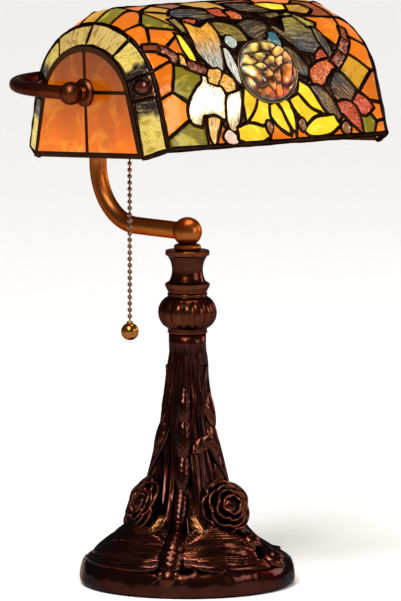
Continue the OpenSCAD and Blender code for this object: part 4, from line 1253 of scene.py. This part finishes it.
def make_wings():
    """The four wings, each a slab that lies on the foot."""
    wings = Shape()
    for upper, lower, swell in WINGS:
        wings.add(*slab(wing_rows(upper, lower, swell), 1.6 * MM))
    wings.piece("bronze_wings", cast_bronze, "base", replaces=("dragonfly_wings",), slot="cast_bronze")


# Rings of a rose, from the outside in: size, place of the ring's root, number of petals, how far they cup
ROSE_RINGS = ((1.0, 0.0, 5, 0.25), (0.8, 0.18, 5, 0.5), (0.58, 0.36, 4, 0.8), (0.36, 0.5, 3, 1.1))


def rose_shape(centre, facing, r, deep):
    """Rings of curled petals round a coiled heart, facing along a direction of the base's front.

    deep draws the petals up from a flat rosette at 0 to a bell at 1."""
    flower = Shape()
    out = Vector(facing).normalized()
    right = out.cross(Vector((0, 0, 1))).normalized()
    up = right.cross(out)

    def place(t, reach, rise):
        return on_base(Vector(centre) + right * reach * math.cos(t) + up * reach * math.sin(t) + out * rise)

    for ring, (size, lift, petals, cup) in enumerate(ROSE_RINGS):
        lift, cup = lift * (1 - deep), cup + deep * (1.9 - cup)
        for k in range(petals):
            mid = 2 * math.pi * (k + 0.37 * ring) / petals
            rows = []
            for i in range(13):
                v = i / 12
                row = []
                for j in range(17):
                    u = j / 8 - 1
                    reach = r * size * (0.25 + 0.75 * v) * (1 - 0.16 * abs(u) ** 3 * v)
                    t = mid + u * 1.05 * math.pi / petals
                    curl = 0.64 * max(0.0, v - 0.75) * (1 - abs(u) * 0.6)
                    rise = lift + cup * 0.42 * v * v - curl + 0.03 * math.sin(5 * t) * v
                    row.append(place(t, reach, r * rise))
                rows.append(row)
            flower.add(*slab(rows, 1.8 * MM))
    steps = [i / 39 for i in range(40)]
    coil = [place(5 * math.pi * s, r * 0.2 * s, r * (0.95 - 0.25 * s - 0.3 * deep)) for s in steps]
    flower.add(*sweep(coil, [1.3 * MM] * len(coil), 10))
    for rise, size in ((0.4, 0.38), (-0.25, 0.5)):
        flower.add(*ball(place(0.0, 0.0, r * rise), r * size * MM, 14, 20))
    return flower


def bud(shape, centre, r):
    """A closed bud with spiral folds."""
    middle = on_base(centre)
    points, faces = ball(middle, r * MM, 20, 40)
    for i, p in enumerate(points):
        d = p - middle
        fold = abs(math.sin(1.5 * math.atan2(d.y, d.x) + 500 * d.z)) ** 0.7
        points[i] = middle + d * (0.9 + 0.14 * fold)
    shape.add(points, faces)


def leaf(shape, root, tip, width, up, curl=2.0, bulge=1.5):
    """A pointed leaf with a middle vein and a curled tip, facing up."""
    root, tip, up = Vector(root), Vector(tip), Vector(up).normalized()
    along = tip - root
    aside = along.cross(up).normalized()
    rows = []
    for i in range(19):
        u = i / 18
        half = width * math.sin(math.pi * min(0.985, 0.06 + u * 0.94)) ** 0.75
        row = []
        for k in range(13):
            v = k / 6 - 1
            vein = 0.8 if k == 6 else 0.5 * math.cos(math.pi * 6 * (u + abs(v) * 0.3)) * abs(v)
            rise = bulge * (1 - v * v) * math.sin(math.pi * u) ** 0.5 + curl * (u - 0.4) ** 2 * 4 - 1.0
            row.append(on_base(root + along * u + aside * half * v + up * (rise + vein)))
        rows.append(row)
    shape.add(*slab(rows, 1.3 * MM))


# Leaves: root, tip, half width and the direction each faces
LEAVES = (
    ((17, -14, 98), (4, -20, 88), 4.5, (0.4, -0.9, 0.2)),
    ((24, 10, 62), (33, 14, 42), 6.0, (0.9, 0.2, 0.4)),
    ((-24, 14, 60), (-31, 18, 42), 6.0, (-0.9, 0.2, 0.4)),
    ((10, 24, 64), (16, 34, 42), 6.0, (0.2, 0.9, 0.4)),
    ((-12, 23, 64), (-14, 34, 42), 6.0, (-0.2, 0.9, 0.4)),
    ((42, 12, 26), (58, 22, 18), 5.0, (0.5, 0.2, 0.9)),
)
# Leaves that hang at the column's sides: which side, height of the root and distance from the axis
SIDE_LEAVES = ((-1, 108, 15), (-1, 90, 17.5), (1, 128, 12.5), (1, 108, 15), (1, 90, 17.5))
# Two leaves by the body, in the golden bronze that is partly painted highlight
GILT_HIGHLIGHT_LEAVES = (
    ((6, -34, 50), (15, -42, 37), 5.6, (0.2, -0.8, 0.6)),
    ((-13, -35, 49), (-21, -42, 38), 4.2, (-0.3, -0.8, 0.6)),
)
BUDS = (((42, -21, 29), 7.6), ((56, -22, 16.5), 9.3))
STEM = [(30, -16, 44), (37, -14, 35), (46, -15, 27), (56, -16, 20), (63, -16, 17)]
VINE_LOW = 52
VINE_HIGH = 144


def vine(side, phase):
    """Path of a vine that winds up one side of the column."""
    path = []
    for i in range(50):
        t = i / 49
        z = VINE_LOW + (VINE_HIGH - VINE_LOW) * t
        r = (16.3 + 0.2 * max(0.0, 118 - z)) * (1 - 0.16 * t)
        turn = -math.pi / 2 + side * (1.15 + 0.5 * math.sin(5 * t + phase))
        path.append(on_base((r * math.cos(turn), r * math.sin(turn), z)))
    return path


def make_plants():
    """The two roses, the buds, two golden leaves by the body whose gilt also stands in as painted highlight,
    and the leaves with their vines and stem.
    """
    def cast(shape, name, node):
        shape.piece(name, cast_bronze, "base", replaces=(node,), slot="cast_bronze")

    cast(rose_shape((24, -18, 52), (0.55, -0.75, 0.3), 18.5, 0.4), "bronze_rose_right", "rose_right")
    cast(rose_shape((-20, -14, 50), (-0.80, -0.42, 0.40), 20, 0.85), "bronze_rose_left", "rose_left")
    buds = Shape()
    for centre, r in BUDS:
        bud(buds, centre, r)
    cast(buds, "bronze_buds", "rosebuds")
    gilt_highlight = Shape()
    for root, tip, width, up in GILT_HIGHLIGHT_LEAVES:
        leaf(gilt_highlight, root, tip, width, up, 1.5, 2.4)
    gilt_highlight.piece("gilt_highlight_leaves", gilt_highlight_bronze, "base", slot="cast_bronze")
    sprays = Shape()
    for root, tip, width, up in LEAVES:
        leaf(sprays, root, tip, width, up)
    for side, z, reach in SIDE_LEAVES:
        root, tip = (side * reach, -4, z), (side * (reach + 4.5), -6, z - 25)
        leaf(sprays, root, tip, 6.5, (side, -0.35, 0.15), 0.5, 3.4)
    for side in (-1, 1):
        for phase in (0.0, 1.6):
            sprays.add(*sweep(vine(side, phase), [(1.9 - i / 49) * MM for i in range(50)], 10))
    path = [on_base(spread(STEM, i / 30)) for i in range(31)]
    sprays.add(*sweep(path, [(3.4 - 0.05 * i) * MM for i in range(31)], 12))
    cast(sprays, "bronze_leaves", "leaf_sprays")


VASE_R = 19.4
VASE_MIDDLE = 178
VASE_ROUND = 11.5  # radius of the vase's bulge, from its top to its foot
VASE_TOP = 190.7
VASE_LOBES = 14


def make_vase():
    """The lobed vase of the neck."""
    outline = [(5, SEAT_Z), (12.8, SEAT_Z), (13.2, 165.4), (12.6, 166.4)]
    for a in range(-62, 63, 4):
        turn = math.radians(a)
        r = VASE_R - VASE_ROUND * (1 - math.cos(turn))
        outline.append((r, VASE_MIDDLE + VASE_ROUND * math.sin(turn)))
    outline += [(12.6, 189), (13.2, 189.8), (12.8, VASE_TOP), (5, VASE_TOP)]

    def lobed(t, r, z):
        part = max(0.0, math.sin(math.pi * min(1.0, max(0.0, (z - 167) / 21.5))))
        r = r - 1.7 * part * (1 - abs(math.cos(VASE_LOBES / 2 * t)) ** 0.6)
        return Vector((r * math.cos(t), r * math.sin(t), z)) * MM

    points, faces = turned(outline, 240, lobed)
    # Its lighter bronze is painted highlight on the dark bronze.
    new_piece("lobed_vase", points, faces, highlit_neck_bronze, "base", replaces=("neck_vase",), slot="dark_bronze")


# ---------------------------------------------------------------- pull chain
BEAD_R = 1.6 * MM
BEAD_PITCH = 4.1 * MM
LINK_R = 0.5 * MM


def make_chain():
    """Beads on a thin link between them, and the ball they end in."""
    low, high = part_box("pull_chain")
    x, y = (low.x + high.x) / 2, (low.y + high.y) / 2
    top, foot = high.z - BEAD_R, low.z
    chain = Shape()
    for i in range(round((top - foot) / BEAD_PITCH)):
        chain.add(*ball((x, y, top - i * BEAD_PITCH), BEAD_R, 14, 20))
    chain.add(*sweep([Vector((x, y, top)), Vector((x, y, foot))], [LINK_R, LINK_R], 10))
    chain.piece("bead_chain", chain_bronze, "chain", replaces=("pull_chain",), slot="antique_brass")
    low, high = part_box("pull_ball")
    middle = (low + high) / 2
    r = (high.z - low.z) / 2 / MM
    outline = [(r * math.sin(math.radians(a)), -r * math.cos(math.radians(a))) for a in range(0, 163, 6)]
    outline += [(2.0, r * 0.98), (2.2, r * 1.08), (1.9, r * 1.16), (0.0, r * 1.18)]
    points, faces = turned(outline, 48)
    points = [p * MM + middle for p in points]
    new_piece("chain_ball", points, faces, ball_brass, "chain", replaces=("pull_ball",), slot="antique_brass")


# ---------------------------------------------------------------- finishes of the CAD nodes that stay
# The end panes' nodes have the orange glass's slot
FINISHES = {label(made): made for made in (
    dark_bronze, cast_bronze, copper_bronze, antique_brass, plain_brass, plain_steel, base_iron, felt,
    black_plastic, wire_cover, socket_paper, lamp_cap, bulb_glass, filament, leading)}
FINISHES["orange_glass"] = end_glass
YOKE_NODES = ("yoke_hoop", "yoke_ball_left", "yoke_ball_right", "pivot_boss_left", "pivot_boss_right")


def finish_nodes():
    """Gives each CAD node the finish of its material slot, the yoke and the neck's collar their own: on the
    yoke a darker bronze as painted shade, on the collar a lighter one as painted highlight.
    """
    for name, obj in nodes.items():
        for held in obj.material_slots:
            if name in YOKE_NODES:
                held.material = shaded_yoke_bronze
            elif name == "neck_collar":
                held.material = highlit_neck_bronze
            elif held.material and label(held.material) in FINISHES:
                held.material = FINISHES[label(held.material)]


make_shade()
make_casting()
make_dragonfly()
make_wings()
make_plants()
make_vase()
make_chain()
finish_nodes()


# ---------------------------------------------------------------- stage, light and camera
FLOOR_HALF = 14.0
LAMP_MIDDLE = Vector((0, 0, 0.2))  # the lights look at this place
# Lights: kind, place, size in metres (for the sun, its angle) and strength
LIGHTS = {
    "above": ("SUN", (-0.8, -0.5, 1.8), 0.6, 3.3),
    "key": ("AREA", (-1.5, -1.0, 1.5), 0.5, 30.0),
    "fill": ("AREA", (0.9, -1.9, 0.8), 0.8, 16.0),
    "rim": ("AREA", (1.7, -0.35, 0.6), 0.7, 14.0),
}
SKY = 0.25
CAMERA_TURN = math.radians(40.52)
CAMERA_RISE = math.radians(6.64)
CAMERA_AWAY = 4.049
CAMERA_LENS = 373.0


def make_stage():
    """A pale floor, wide enough to fill the picture from every side but a level one."""
    t = Tree("pale_floor")
    grain = t.noise(t.place(), 60.0, 4.0)
    t.set(Base_Color=t.mix(grain, colour(0.80, 0.79, 0.77), colour(0.86, 0.85, 0.84)), Roughness=0.6,
          Normal=t.bump(grain, 0.02, 0.001))
    far = FLOOR_HALF
    mesh = bpy.data.meshes.new("stage_floor")
    mesh.from_pydata([(-far, -far, 0), (far, -far, 0), (far, far, 0), (-far, far, 0)], [], [(0, 1, 2, 3)])
    mesh.materials.append(t.material)
    floor = bpy.data.objects.new("stage_floor", mesh)
    bpy.context.scene.collection.objects.link(floor)


def make_lights():
    """An even soft light from above, three soft lamps round the object and a pale sky."""
    world = bpy.data.worlds.new("studio")
    world.use_nodes = True
    sky = world.node_tree.nodes["Background"].inputs
    sky["Color"].default_value = (1.0, 0.98, 0.95, 1.0)
    sky["Strength"].default_value = SKY
    bpy.context.scene.world = world
    for name, (kind, place, size, power) in LIGHTS.items():
        lamp = bpy.data.lights.new(name, kind)
        lamp.energy = power
        if kind == "SUN":
            lamp.angle = size
        else:
            lamp.size = size
        obj = bpy.data.objects.new(name, lamp)
        obj.location = place
        obj.rotation_mode = "QUATERNION"
        obj.rotation_quaternion = (LAMP_MIDDLE - Vector(place)).to_track_quat("-Z", "Y")
        bpy.context.scene.collection.objects.link(obj)


def make_camera():
    """A long lens, 40.5 degrees round to the left of the front and 6.6 degrees up."""
    turn, level = CAMERA_TURN, math.cos(CAMERA_RISE)
    back = Vector((-math.sin(turn) * level, -math.cos(turn) * level, math.sin(CAMERA_RISE)))
    right = Vector((math.cos(turn), -math.sin(turn), 0.0))
    up = right.cross(-back)
    target = Vector((0.0, 0.0, 0.190)) + right * 0.0085 - up * 0.0044
    camera = bpy.data.objects.new("camera", bpy.data.cameras.new("camera"))
    camera.data.lens = CAMERA_LENS
    camera.data.sensor_width = 36.0
    camera.location = target + back * CAMERA_AWAY
    camera.rotation_mode = "QUATERNION"
    camera.rotation_quaternion = (-back).to_track_quat("-Z", "Y")
    bpy.context.scene.collection.objects.link(camera)
    bpy.context.scene.camera = camera


make_stage()
make_lights()
make_camera()
bpy.context.scene.view_settings.view_transform = "Standard"
